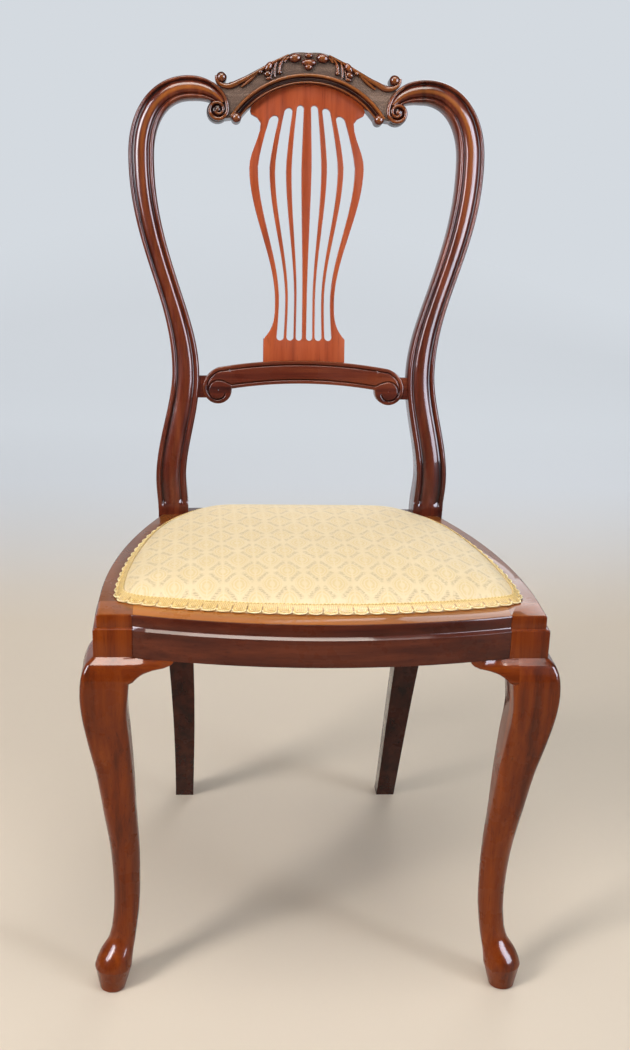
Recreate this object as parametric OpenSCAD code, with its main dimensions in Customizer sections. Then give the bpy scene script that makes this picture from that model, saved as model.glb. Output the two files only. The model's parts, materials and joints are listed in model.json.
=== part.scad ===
// Balloon back salon chair with a pierced splat, cabriole front legs and a webbed, stuffed seat.
// X runs across the chair, Y from front to back and Z up from the floor.
// Shapes are worked out from the front blocks' face, and place() then centres the chair on its origin.
// "v" is a distance up the front face of the back from the seat frame's top, and "d" a depth behind it.

/* [Seat frame] */
// Width across the front corner blocks
seat_w = 452; // [420:1:500]
// Depth from the front blocks' face to the back posts' face
seat_d = 312; // [290:1:350]
// Height of the seat frame's top above the floor
seat_top = 438; // [410:1:470]
// Height of the seat rails
rail_h = 44; // [40:1:56]
// Thickness of the side rails
rail_t = 32; // [28:1:36]
// Thickness of the front rail
front_t = 38; // [34:1:39]
// How far the front rail bows out past the blocks
front_bow = 24; // [16:1:34]
// Side of the square corner blocks
block_w = 39; // [36:1:44]
// Height of the upper face, which is set back
step_h = 14; // [10:1:18]
// How far the upper face is set back
step_in = 3.5; // [2:0.5:5]
// Width of the polished border beside the pad
border_w = 17; // [13:0.5:19]
// Width of the polished border in front of the pad
front_border_w = 26; // [16:0.5:28]
// Width of the polished border behind the pad
back_border_w = 13; // [11:0.5:15]
// Depth of the rebate that the webbing lies in
rebate = 6; // [5:0.5:8]
// Thickness of the back rail
back_rail_t = 24; // [20:1:28]
// How far the back rail's face stands behind the posts' face
back_rail_in = 2; // [0:0.5:4]

/* [Back posts] */
// Middle of a post at the seat, from the chair's middle
base_x = 151; // [145:1:158]
// Middle of a post at its low bulge
bulge_x = 154; // [148:1:162]
// Height of the low bulge up the back
bulge_v = 46; // [36:1:60]
// Middle of a post at the waist
waist_x = 137.5; // [128:0.5:146]
// Height of the waist up the back
waist_v = 165; // [155:1:180]
// Middle of a post at the widest part of the balloon
shoulder_x = 190; // [178:1:200]
// Middle of the moulding where it tops the shoulder
crown_x = 134.5; // [128:0.5:140]
// Height of the shoulder's top up the back
crown_v = 491; // [470:1:510]
// How far the balloon's widest part lies below the shoulder's top
shoulder_drop = 74; // [64:1:86]
// Width of a post at the seat
base_w = 35; // [31:0.5:38]
// Width of a post at the waist
waist_w = 31.5; // [28:0.5:35]
// Width of a post at its slimmest, above the waist
slim_w = 25.5; // [23:0.5:30]
// Width of a post at the widest part of the balloon
shoulder_w = 29; // [26:0.5:32]
// Width of the moulding where it tops the shoulder
crown_w = 25; // [22:0.5:28]
// Depth of a post, front to back, at the seat
base_t = 36; // [34:1:40]
// Depth of a post above the waist
post_t = 27; // [25:0.5:31]
// Depth of the moulding's quirks
mould_d = 3.2; // [2:0.2:4]
// Lean of the back just above the seat, in degrees
lean_low = 8; // [5:0.5:10]
// Lean of the back from the splat's foot up, in degrees
lean_top = 12.5; // [11:0.5:16]

/* [Rear legs] */
// How far a rear foot stands behind the post's face
leg_sweep = 109; // [80:1:130]
// Middle of a rear foot, from the chair's middle
rear_foot_x = 136.5; // [130:0.5:150]
// Width of a rear foot
rear_foot_w = 23.5; // [20:0.5:28]
// Depth of a rear foot
rear_foot_t = 24; // [20:0.5:28]

/* [Front legs] */
// How far the knee stands out of the block, forwards and sideways
knee_out = 13.2; // [9:0.2:16]
// Thickness of the knee
knee_w = 47.6; // [44:0.2:52]
// How far the ankle's face lies inside the block's face
ankle_in = 15.8; // [12:0.2:20]
// Thickness of the ankle
ankle_w = 26.8; // [23:0.2:30]
// Diameter of the pad foot
pad_foot_w = 39.5; // [36:0.5:44]
// How far the pad foot stands out of the block
pad_foot_out = 4.5; // [2:0.5:8]
// Diameter of the foot on the floor
toe_w = 27.5; // [24:0.5:32]
// Height of the foot's sharp edge
foot_h = 27; // [22:1:34]
// Radius of the leg's corners at the knee
knee_r = 4.5; // [2:0.5:7]
// Length of a knee bracket along the rail
bracket_l = 40; // [32:1:48]
// Height of a knee bracket at the leg
bracket_h = 25; // [20:1:30]
// Thickness of a knee bracket behind the blocks' face
bracket_t = 20; // [16:1:26]

/* [Crest rail] */
// How far the crest's top rises above the shoulder's top
crest_rise = 40; // [35:1:49]
// How far the dips beside the carved centre lie above the shoulder's top
dip_rise = 7; // [3:1:11]
// Half the distance between the two dips
crest_dip_x = 90; // [86:1:94]
// Thickness of the crest rail
crest_t = 25; // [22:0.5:27]
// How far the carved ground lies behind the moulding
ground_d = 4; // [2.5:0.5:5]
// Radius of the arch moulding's inner edge
arch_r = 95; // [92:1:98]
// Width of the arch moulding
arch_w = 10; // [8:0.5:12]
// How far the arch's centre lies below the shoulder's top
arch_drop = 89; // [86:1:92]
// Middle of a volute, from the chair's middle
volute_x = 103; // [101:0.5:106]
// How far a volute's middle lies below the shoulder's top
volute_drop = 25; // [22:1:28]
// Radius of a volute
volute_r = 13.2; // [12:0.2:14.5]
// Width of the rim that coils round a volute
volute_rim = 4.6; // [3.6:0.2:5.4]
// Radius of the small scroll beside each volute
curl_r = 6.3; // [5:0.1:7]
// Radius of the beads that end the arch moulding
bead_r = 5.4; // [4:0.2:6]

/* [Splat and mid rail] */
// Thickness of the splat
splat_t = 7; // [6:0.5:9]
// How far the splat lies behind the back's face
splat_in = 9; // [7.5:0.5:10]
// Half the splat's width at its widest
splat_wide = 66; // [60:0.5:70]
// Half the splat's width at its narrowest
splat_slim = 34.3; // [30:0.1:40]
// Half the width of the splat's foot
splat_foot = 47.5; // [42:0.5:54]
// Height of the splat's foot
splat_foot_h = 23.5; // [18:0.5:28]
// Height of the mid rail's top at the middle, up the back
mid_v = 183; // [176:1:190]
// Height of the mid rail's face
mid_h = 26.5; // [24:0.5:30]
// How far the mid rail's ends drop below its middle
mid_drop = 8; // [5:0.5:10]
// Thickness of the mid rail
mid_t = 20; // [18:0.5:23]
// How far the mid rail lies behind the back's face
mid_in = 2.5; // [1.5:0.5:4]
// Middle of the mid rail's scrolls, from the chair's middle
scroll_x = 99.5; // [96:0.5:102]
// Radius of the mid rail's scrolls
scroll_r = 15.5; // [14:0.5:17]

/* [Seat pad] */
// Height of the pad's crown above the frame
crown_h = 30; // [24:1:38]
// Thickness of the cover
cover_t = 1.2; // [0.8:0.1:2]
// Width of the gimp over the pad's edge
gimp_w = 11; // [9:0.5:13]
// Thickness of the gimp
gimp_t = 1.6; // [1:0.1:2.2]
// Width of a webbing strap
web_w = 50; // [40:1:56]
// Thickness of a webbing strap
web_t = 1.3; // [1:0.1:1.6]
// Thickness of the hessian
hessian_t = 0.8; // [0.5:0.1:1.2]

/* [Joints] */
// Diameter of the dowels in the seat frame
dowel_d = 9; // [7:0.5:10]
// Length of the dowels in the seat frame
dowel_l = 30; // [24:1:34]
// Diameter of the dowels in the back
back_dowel_d = 8; // [6:0.5:9]
// Length of the dowels between the posts and the crest rail
crest_dowel_l = 34; // [26:1:40]
// Length of the dowels at the mid rail's ends
mid_dowel_l = 22; // [16:1:26]
// Diameter of the brace screws
screw_d = 4; // [3:0.5:5]
// Length of the brace screws
screw_l = 34; // [28:1:38]

/* [Hidden] */
$fn = 64;
// Clearance between pieces that only touch
gap = 0.1;
// Clearance all round the pad and its layers
soft_gap = 0.3;
// Radial clearance of a dowel or screw in its hole
hole_gap = 0.05;
// How far a cut runs past the wood
over = 5;
// Length of the low bend of the back, just above the seat
low_len = 60;
// Length of the gentler bend above it
bend_len = 200;
// Height above the seat at which the posts' moulding starts, and the length of its rounded stop
stop_v = 9;
stop_len = 9;
// Height above the seat at which the post has thinned to its upper depth
thin_v = 130;
// Share of the shoulder's quarter turn at which post and crest rail are joined
joint_share = 0.15;
// Handles of the balloon's curves
waist_handle_share = 0.33;
balloon_low_share = 0.32;
balloon_high_share = 0.42;
quarter_share = 0.6;
// Where a post is slimmest, as a share of the curve from waist to shoulder
slim_share = 0.42;
// Rounding of the posts' rear corners
post_round = 2.5;
// Moulding across a post, from its outer edge: share of the width, share of the quirks' depth
mould_shares = [[0, 0.85], [0.03, 0.3], [0.08, 0.08], [0.135, 0.35], [0.17, 1], [0.23, 0.9], [0.31, 0.42],
    [0.43, 0.08], [0.56, 0.02], [0.69, 0.3], [0.785, 0.95], [0.825, 0.6], [0.875, 0.12], [0.95, 0.25], [1, 0.85]];
// Frame edge: share of the set back, share of the upper face's height from the ledge up
edge_shares = [[0, -0.1], [0.82, 0.06], [1, 0.12], [1, 0.86], [1.15, 0.97], [1.45, 1]];
// Powers of a rear leg's curves: along it, its slimming, its move inwards and its sweep back
rear_power = 1.35;
slim_power = 1.5;
inward_power = 3.2;
sweep_power = 1.75;
// Leg outline from the floor end of the ankle up: share of the leg's height, share of the way from
// ankle to knee that the outer face stands out, and the same for the thickness
leg_shares = [[0.17, 0.076, 0], [0.231, 0, 0.02], [0.317, 0.007, 0.082], [0.416, 0.097, 0.187],
    [0.535, 0.303, 0.346], [0.655, 0.51, 0.524], [0.77, 0.786, 0.755], [0.85, 0.952, 0.865],
    [0.909, 1, 1], [0.96, 0.917, 0.971], [0.985, 0.752, 0.851], [1, 0.579, 0.635]];
// Flare of the foot from its edge up to the ankle: share of the height, shares of the way to the ankle
flare_shares = [[0, 0, 0], [0.15, 0.094, 0.095], [0.37, 0.332, 0.354], [0.66, 0.774, 0.827], [1, 1, 1]];
// Rounding of the leg in plan: share of its width, and the leg's height shares where it begins and ends
round_share = 0.49;
round_from_share = 0.3;
round_over_share = 0.55;
// Foot: share of its height at the rounded underside's top, its roll on the floor and its soft edge
under_share = 0.94;
toe_in = 1.1;
foot_soft = 0.2;
// Radius of the blocks' upright arrises, and how it grows with the set back
arris_r = 1.2;
arris_share = 0.4;
// Lower edge of a knee bracket: share of its length from the leg, share of its height
bracket_shares = [[0, 1], [0.25, 0.84], [0.52, 0.74], [0.7, 0.62], [0.85, 0.42], [0.95, 0.2], [1, 0.06]];
// Outline of a bracket's section: share of its height, 0 on its face or 1 on its back
bracket_rows = [[0, 0], [0.2, 0], [0.45, 0], [0.7, 0], [1, 0], [1, 1], [0.5, 1], [0, 1]];
// How fast a bracket's face runs back to the rail, how far it stands proud there, and its lower arris
bracket_rate = 1.15;
bracket_proud = 0.6;
bracket_arris = 1.2;
// Place of the small scroll beside a dip, outwards and upwards, as shares of its radius
curl_shares = [1.2, 0.6];
// How much of the quarter turn the shoulder's outer edge falls before it meets the volute
fall_share = 0.7;
// Crest outline from a dip to the middle: share of the distance, share of the rise
crest_shares = [[0, 0], [0.13, 0.12], [0.3, 0.35], [0.45, 0.6], [0.62, 0.82], [0.76, 0.97], [0.87, 1], [1, 0.96]];
// Pad from its edge inwards: share of the way to the middle, share of the crown's height
pad_shares = [[0, 0.02], [0.009, 0.13], [0.03, 0.27], [0.07, 0.42], [0.14, 0.57], [0.26, 0.74],
    [0.45, 0.89], [0.7, 0.98], [1, 1]];
// Rise of the pad's middle above its last ring, as a share of the crown's height
tip_share = 0.02;
// Gimp: share of its width inside the pad's edge
gimp_in_share = 0.78;
// Splat slots from the middle out: inner and outer edge at the foot and at the wide part, as shares
slot_shares = [[0.066, 0.28, 0.088, 0.262], [0.345, 0.577, 0.358, 0.551], [0.655, 0.878, 0.646, 0.85]];
// Splat edge: height shares of the narrowest, the widest and the neck, and the neck's and wing's widths
slim_v_share = 0.217;
wide_v_share = 0.705;
neck_v_share = 0.862;
neck_share = 0.81;
// Wings between the neck and the arch, as shares of the width and of the height above the neck
wing_shares = [[0.87, 0.018], [0.98, 0.03], [1, 0.043]];
// Slot tops, as shares of the same height, and the lengths of their finely drawn ends
slot_top_shares = [0.927, 0.917, 0.889];
slot_end_shares = [0.012, 0.03];
// Height share at which the foot's hollow flare ends, its power, and how far the outer slots follow it
flare_end_share = 0.08;
flare_power = 3.2;
slot_flare_share = 0.09;
slot_flare_power = 1.6;
// How far the splat runs on below the mid rail's top before it is cut, and its width at the arch
sunk_share = 0.03;
top_share = 0.92;
// How far the slots' pattern draws in at the top
slot_draw_share = 0.54;
slot_draw_power = 1.3;
// Depth of the groove in the crest rail for the splat, and of its tenon in the mid rail
groove_d = 6;
tenon_d = 9;
tenon_t = 5;
tenon_share = 0.6;
// Depth of the mid rail's housings in the posts
housing_d = 1.6;
// Place of the mid rail's neck and of its scrolls below its ends' middle, as shares of its height
neck_drop_share = 0.38;
scroll_drop_share = 0.52;
// How much wider the arc of its top is than the arc below, as a share of its height
top_arc_share = 1.6;
// Scroll's tail: how far it grows, as a share of the radius, and the power of its growth
tail_share = 1.62;
tail_power = 3;
// Inner and outer edge of the dish in a scroll, as shares of its radius
dish_shares = [0.42, 0.78];
// Incised lines of the mid rail: distance from its edges, width and depth
line_in = 5;
line_w = 1.2;
line_d = 1;
// Turns of a volute's rim, and how far it winds in as a share of the radius
volute_turns = 1.2;
coil_share = 0.52;
coil_thin_share = 0.75;
// Eye of a volute as a share of its radius, and how deep its field lies
eye_share = 0.45;
field_d = 2.2;
// Width and height of the raised rim along the crest
rim_w = 4;
rim_d = 1.2;
// Radii of the carved buds at the middle of the crest, and their places from the top's middle
bud_r = 4.6;
bud_x = 11.5;
bud_drop = 2.5;
berry_r = 3;
berry_drops = [5.5, 15.4];
// Height of a dome over its boss, as a share of the radius
dome_share = 0.8;
// Angle at which the arch moulding ends and at which a volute's rim starts
arch_from = 34;
coil_from = 150;
// Widths of the arch moulding's two beads together, as a share of its width
bead_share = 0.6;
// Heights of the seat frame's dowels, as shares of the rail's height
dowel_shares = [0.28, 0.68];
back_dowel_shares = [0.4, 0.6];
// Place of the posts' side dowels in the rail, and length of the back rail's dowels against the others
post_dowel_share = 0.45;
back_length_share = 0.8;
// Braces: length along the rails, height and distance below the rebate
brace_l = 62;
brace_h = 26;
brace_gap = 5;
// Places of the screws along the braces, as shares of their length, and how deep they bite into a rail
screw_shares = [0.42, 0.5, 0.62, 0.42];
screw_bite = 10;
// Cut corners of the braces: shares of their length, and of the rails' thickness
front_cut_shares = [0.95, 1.25, 0.9, 1.1];
rear_cut_share = 1.1;
// Screw heads
head_d = 8;
head_h = 3;
// Places of the straps, as shares of the frame's width and depth
strap_shares = [-0.17, 0, 0.17];
cross_strap_shares = [0.23, 0.47, 0.71];
// Distance from the straps' ends to the rebate's wall
strap_gap = 2.5;
// Length over which a strap rises or falls between two crossings, as a share of its width
wave_share = 0.4;
// Sharpness of the pad's corners in plan
corner_power = 26;
// Distance of the pad from the posts
post_clear = 4;
// Number of sides of a coiled rim, rings of a coil and points round the pad
coil_n = 6;
coil_rings = 30;
pad_n = 60;

leg_h = seat_top - rail_h;
half_w = seat_w/2;
shoulder_v = crown_v - shoulder_drop;
crest_v = crown_v + crest_rise;
crest_dip_v = crown_v + dip_rise;
arch_v = crown_v - arch_drop;
volute_v = crown_v - volute_drop;
ledge_z = seat_top - step_h;
floor_z = seat_top - rebate;
block_in = half_w - block_w;
bend_v = low_len + bend_len;
low_r = low_len/(lean_low*PI/180);
bend_r = bend_len/((lean_top - lean_low)*PI/180);
base_in = base_x - base_w/2;
base_out = base_x + base_w/2;
// Arcs of the seat frame's outer faces: the front rail's and a side rail's radius and middle
front_r = (pow(block_in, 2) + pow(front_bow, 2))/(2*front_bow);
front_c = front_r - front_bow;
side_run = seat_d - block_w;
side_fall = half_w - base_out;
side_r = (pow(side_run, 2) + pow(side_fall, 2))/(2*side_fall);
side_c = half_w - side_r;
pad_in = step_in + border_w;
front_in = step_in + front_border_w;
pad_mid = seat_d*0.5;
curl_x = crest_dip_x + curl_r*curl_shares[0];
curl_v = crest_dip_v + curl_r*curl_shares[1];
arch_mid = arch_r + arch_w/2;
pad_back = seat_d + back_rail_in + back_rail_t - back_border_w;
rear_y = seat_d + leg_sweep + rear_foot_t;
mid_y = (rear_y - front_bow)/2;
arch_out = arch_r + arch_w;
splat_h = arch_v + arch_r - mid_v;

function lerp(a, b, t) = a + (b - a)*t;
function flat(list) = [for (a = list) for (b = a) b];
function mean(ring) = [for (k = [0:2]) [for (p = ring) p[k]]*[for (p = ring) 1]/len(ring)];
function bezier(a, b, c, d, t) = pow(1 - t, 3)*a + 3*pow(1 - t, 2)*t*b + 3*(1 - t)*t*t*c + t*t*t*d;
function ease(t) = t <= 0 ? 0 : t >= 1 ? 1 : t*t*(3 - 2*t);

// Smooth curve through a table's rows, ordered by their first column
function row(tab, x, i = 0) = i >= len(tab) - 2 || x < tab[i + 1][0] ? i : row(tab, x, i + 1);
function slope(tab, i, k) = let (a = max(i - 1, 0), b = min(i + 1, len(tab) - 1))
    (tab[b][k] - tab[a][k])/(tab[b][0] - tab[a][0]);
function curve(tab, x, k = 1) = let (i = row(tab, x), h = tab[i + 1][0] - tab[i][0], t = (x - tab[i][0])/h)
    tab[i][k]*(1 + 2*t)*pow(1 - t, 2) + slope(tab, i, k)*h*t*pow(1 - t, 2)
    + tab[i + 1][k]*t*t*(3 - 2*t) - slope(tab, i + 1, k)*h*t*t*(1 - t);

// Side view of the back: lean at v, and the point at v and depth d as [y, z]
function lean(v) = v < low_len ? lean_low*max(v, 0)/low_len
    : v < bend_v ? lerp(lean_low, lean_top, (v - low_len)/bend_len) : lean_top;
function bend_start() = [seat_d + low_r*(1 - cos(lean_low)), seat_top + low_r*sin(lean_low)];
function bend_end() = bend_start()
    + bend_r*[cos(lean_low) - cos(lean_top), sin(lean_top) - sin(lean_low)];
function face(v) = v < low_len ? [seat_d + low_r*(1 - cos(lean(v))), seat_top + low_r*sin(lean(v))]
    : v < bend_v ? bend_start() + bend_r*[cos(lean_low) - cos(lean(v)), sin(lean(v)) - sin(lean_low)]
    : bend_end() + (v - bend_v)*[sin(lean_top), cos(lean_top)];
function face_at(x, v, d) = let (f = face(v), a = lean(v)) [x, f[0] + d*cos(a), f[1] - d*sin(a)];

// Front view of a post: path at q from 0 at the seat over 1 bulge, 2 waist and 3 shoulder to 4 crown
function upright(a, b, low, high, t) = let (h = b[1] - a[1])
    bezier(a, a + [0, h*low], b - [0, h*high], b, t);
function path(q) = q < 1 ? upright([base_x, 0], [bulge_x, bulge_v], waist_handle_share, waist_handle_share, q)
    : q < 2 ? upright([bulge_x, bulge_v], [waist_x, waist_v], waist_handle_share, waist_handle_share, q - 1)
    : q < 3 ? upright([waist_x, waist_v], [shoulder_x, shoulder_v], balloon_low_share, balloon_high_share, q - 2)
    : bezier([shoulder_x, shoulder_v], [shoulder_x, lerp(shoulder_v, crown_v, quarter_share)],
        [lerp(crown_x, shoulder_x, quarter_share), crown_v], [crown_x, crown_v], min(q - 3, 1));
function along(q) = let (e = 0.001, a = path(max(q - e, 0)), b = path(min(q + e, 4))) (b - a)/norm(b - a);
function across(q) = let (t = q <= 0 ? [0, 1] : q >= 4 ? [-1, 0] : along(q)) [t[1], -t[0]];
width_rows = [[0, base_w], [1, base_w], [2, waist_w], [2 + slim_share, slim_w], [3, shoulder_w], [4, crown_w]];
function post_w(q) = curve(width_rows, q);
function post_depth(v) = lerp(base_t, post_t, ease(v/thin_v));
function relief(v) = ease((v - stop_v)/stop_len);
function path_at(v, lo = 0, hi = 3, n = 24) = let (m = (lo + hi)/2)
    n == 0 ? m : path(m)[1] < v ? path_at(v, m, hi, n - 1) : path_at(v, lo, m, n - 1);
function post_inner(v) = let (q = path_at(v)) path(q)[0] - post_w(q)/2;

// Outline of the moulding as [share across, depth], with the rear corners rounded
function section(amount, t, w) = concat([for (m = mould_shares) [m[0], m[1]*mould_d*amount]],
    [[1, t - post_round], [1 - post_round/w, t], [post_round/w, t], [0, t - post_round]]);
function band(outer, inner, amount, t) = let (w = norm(outer - inner))
    [for (s = section(amount, t, w)) let (p = lerp(outer, inner, s[0])) face_at(p[0], p[1], s[1])];
function post_ring(q) = let (c = path(q), n = across(q)*post_w(q)/2)
    band(c + n, c - n, relief(c[1]), post_depth(c[1]));

// Rear leg below the seat frame's top, cut level, from t = 0 at the rail's foot to 1 at the floor
function leg_ease(t, p) = 1 - pow(1 - pow(t, rear_power), p);
function leg_ring(drop) = let (t = max(0, (drop - rail_h)/leg_h), slim = leg_ease(t, slim_power),
        w = lerp(base_w, rear_foot_w, slim), depth = lerp(base_t, rear_foot_t, slim),
        x = lerp(base_x, rear_foot_x, leg_ease(t, inward_power)), y = seat_d + leg_sweep*pow(t, sweep_power))
    [for (s = section(0, depth, w)) [x + w*(0.5 - s[0]), y + s[1], seat_top - drop]];

// Solid through a list of rings. Each end is closed by a fan round its middle, or for a moulded
// section by two fans from its rear corners, which see all of the hollows
function fan(hub, list) = [for (i = [0:len(list) - 2]) [hub, list[i], list[i + 1]]];
function moulded_cap(n) = let (half = floor(len(mould_shares)/2))
    concat(fan(n - 2, concat([n - 1], [for (i = [0:half]) i])), [[n - 2, half, n - 3]],
        fan(n - 3, [for (i = [half:n - 4]) i]));
function turned(tris, first) = [for (t = tris) [t[0] + first, t[2] + first, t[1] + first]];
function shifted(tris, first) = [for (t = tris) [t[0] + first, t[1] + first, t[2] + first]];

module loft(rings, moulded = false) {
    n = len(rings[0]);
    m = len(rings);
    last = n*(m - 1);
    sides = [for (i = [0:m - 2]) for (j = [0:n - 1]) let (a = i*n + j, b = i*n + (j + 1)%n)
        each [[a, b, a + n], [b, b + n, a + n]]];
    first_fan = [for (j = [0:n - 1]) [(j + 1)%n, j, n*m]];
    last_fan = [for (j = [0:n - 1]) [last + j, last + (j + 1)%n, n*m + 1]];
    if (moulded) polyhedron(flat(rings), concat(sides, turned(moulded_cap(n), 0), shifted(moulded_cap(n), last)),
        convexity = 8);
    else polyhedron(concat(flat(rings), [mean(rings[0]), mean(rings[m - 1])]), concat(sides, first_fan, last_fan),
        convexity = 8);
}

// Draws a piece of the right side, or its mirror image on the left
module side(left) {
    if (left) mirror([1, 0, 0]) children();
    else children();
}

module place() {
    translate([0, -mid_y, 0]) children();
}

// Flat frame on the back's face at v: local Y runs up the face and local Z out of its front
module on_face(v) {
    translate([0, face(v)[0], face(v)[1]]) rotate([90 - lean(v), 0, 0]) children();
}

// Slab between two depths behind the face
module slab(near, far) {
    translate([0, 0, -far]) linear_extrude(far - near) children();
}

// Back posts
joint_q = 3 + joint_share;
joint_c = path(joint_q);
joint_angle = atan2(-along(joint_q)[0], along(joint_q)[1]);

module crest_dowel(grow = 0) {
    on_face(bend_v) translate([joint_c[0], joint_c[1] - bend_v, -post_t/2]) rotate([-90, 0, joint_angle])
        cylinder(d = back_dowel_d + 2*grow, h = crest_dowel_l + 2*grow, center = true);
}

mid_c = mid_v - mid_h/2;
neck_v = mid_c - mid_drop - mid_h*neck_drop_share;
neck_h = mid_h;
neck_end = post_inner(neck_v) + housing_d;

module mid_dowel(grow = 0) {
    on_face(mid_c) translate([neck_end, neck_v - mid_c, -mid_in - mid_t/2]) rotate([0, 90, 0])
        cylinder(d = back_dowel_d + 2*grow, h = mid_dowel_l + 2*grow, center = true);
}

module neck_housing() {
    on_face(mid_c) translate([neck_end - over, neck_v - mid_c - neck_h/2 - gap, -mid_in - mid_t - gap])
        cube([over + gap, neck_h + 2*gap, mid_t + 2*gap]);
}

// Dowels of the seat frame: heights, and places in plan
function dowel_z(s) = leg_h + rail_h*s;
front_dowel_y = front_c - sqrt(pow(front_r, 2) - pow(block_in, 2)) + front_t/2;
side_dowel_x = half_w - rail_t/2;
post_dowel_x = base_out - rail_t*post_dowel_share;
back_dowel_y = seat_d + back_rail_in + back_rail_t/2;
back_dowel_l = dowel_l*back_length_share;

module front_dowel(s, grow = 0) {
    translate([block_in, front_dowel_y, dowel_z(s)]) rotate([0, 90, 0])
        cylinder(d = dowel_d + 2*grow, h = dowel_l + 2*grow, center = true);
}

module side_dowel(s, grow = 0) {
    translate([side_dowel_x, block_w, dowel_z(s)]) rotate([90, 0, 0])
        cylinder(d = dowel_d + 2*grow, h = dowel_l + 2*grow, center = true);
    translate([post_dowel_x, seat_d, dowel_z(s)]) rotate([90, 0, 0])
        cylinder(d = dowel_d + 2*grow, h = dowel_l + 2*grow, center = true);
}

module back_dowel(s, grow = 0) {
    translate([base_in, back_dowel_y, dowel_z(s)]) rotate([0, 90, 0])
        cylinder(d = dowel_d + 2*grow, h = back_dowel_l + 2*grow, center = true);
}

module back_post(left) {
    rings = concat([for (i = [0:13]) leg_ring(seat_top - leg_h*pow(i/13, 0.85))],
        [for (i = [0:4]) post_ring(i/5)], [for (i = [0:9]) post_ring(1 + i/10)],
        [for (i = [0:17]) post_ring(2 + i/18)], [for (i = [0:3]) post_ring(3 + joint_share*i/3)]);
    color("saddlebrown") place() side(left) difference() {
        loft(rings, true);
        crest_dowel(hole_gap);
        mid_dowel(hole_gap);
        neck_housing();
        for (s = dowel_shares) side_dowel(s, hole_gap);
        for (s = back_dowel_shares) back_dowel(s, hole_gap);
    }
}

// Crest rail: shoulders from the joint to the volutes, carved centre and arch moulding
shoulder_end = [crown_x, crown_v + crown_w/2];
shoulder_in = [crown_x, crown_v - crown_w/2];
// Outer edge falls by a quarter ellipse to the volute's side, the inner edge runs on to its top
function fall(t) = [lerp(crown_x, volute_x - volute_r, sin(90*t)), lerp(volute_v, shoulder_end[1], cos(90*t))];
function lip(t) = bezier(shoulder_in, shoulder_in - [volute_r*0.6, 0],
    [volute_x + volute_r*0.9, volute_v + volute_r*1.05], [volute_x, volute_v + volute_r*0.6], t);

module shoulder() {
    rings = concat([for (i = [0:9]) post_ring(joint_q + (4 - joint_q)*i/9)],
        [for (i = [1:7]) band(fall(fall_share*i/7), lip(i/7), 1, lerp(post_t, crest_t, i/7))]);
    loft(rings, true);
}

// Half round rim that coils inwards on the face, with its foot sunk in the volute
function coil_rise(j) = j == 0 || j == coil_n - 1 ? -field_d/2 : field_d*sin(180*j/(coil_n - 1));
function coil_ring(c, r, rim, a, t) = let (out = r*lerp(1, coil_share, t), w = rim*lerp(1, coil_thin_share, t))
    [for (j = [0:coil_n - 1]) let (u = out - w/2 + w/2*cos(180*j/(coil_n - 1)))
        [c[0] + u*cos(a), c[1] + u*sin(a), coil_rise(j) - field_d - gap]];

module coil(c, r, rim, from, turns) {
    loft([for (i = [0:coil_rings]) coil_ring(c, r, rim, from + 360*turns*i/coil_rings, i/coil_rings)]);
}

function crest_edge() = [for (i = [0:24]) let (t = i/24)
    [crest_dip_x*(1 - t), lerp(crest_dip_v, crest_v, curve(crest_shares, t))]];
function mirror_left(list) = [for (i = [len(list) - 1:-1:0]) [-list[i][0], list[i][1]]];
function arch(r, n = 24) = [for (i = [0:n]) let (a = lerp(arch_from, 180 - arch_from, i/n))
    [r*cos(a), arch_v + r*sin(a)]];

module crest_outline() {
    right = concat([[volute_x - volute_r*0.6, volute_v - volute_r*0.75], [volute_x, volute_v],
        [crest_dip_x + curl_r, crest_dip_v]], crest_edge());
    left = mirror_left(right);
    under = arch(arch_mid);
    translate([0, -bend_v]) polygon(concat(right, left, [for (i = [len(under) - 1:-1:0]) under[i]]));
}

module crest_rim_outline() {
    edge = crest_edge();
    whole = concat(edge, mirror_left(edge));
    inner = [for (p = whole) [p[0]*(1 - rim_w/crest_dip_x/2), p[1] - rim_w]];
    translate([0, -bend_v]) polygon(concat(whole, [for (i = [len(inner) - 1:-1:0]) inner[i]]));
}

// Arch moulding: a cove between two beads, through the crest rail's whole thickness
function bead_arc(r, bead, n = 5) = [for (i = [0:n]) let (a = 180*i/n) [r - bead*cos(a), bead*(sin(a) - 1)]];

module arch_moulding() {
    bead = arch_w*bead_share/4;
    translate([0, arch_v - bend_v, 0]) rotate([0, 0, arch_from]) rotate_extrude(angle = 180 - 2*arch_from)
        polygon(concat([[arch_r, -crest_t]], bead_arc(arch_r + bead, bead),
            [[arch_r + arch_w/2, -ground_d/2]], bead_arc(arch_out - bead, bead), [[arch_out, -crest_t]]));
}

// Round boss from depth far out to a domed top at depth near, placed at [x, v]
function dome(r, near) = [for (i = [0:5]) let (a = 15*i) [r*cos(a), r*dome_share*(sin(a) - 1) - near]];

module boss(at, r, near, far) {
    top = dome(r, near);
    translate([at[0], at[1] - bend_v, 0]) rotate_extrude()
        polygon(concat([[0, -far], [r, -far]], top, [[0, top[5][1]]]));
}

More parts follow.
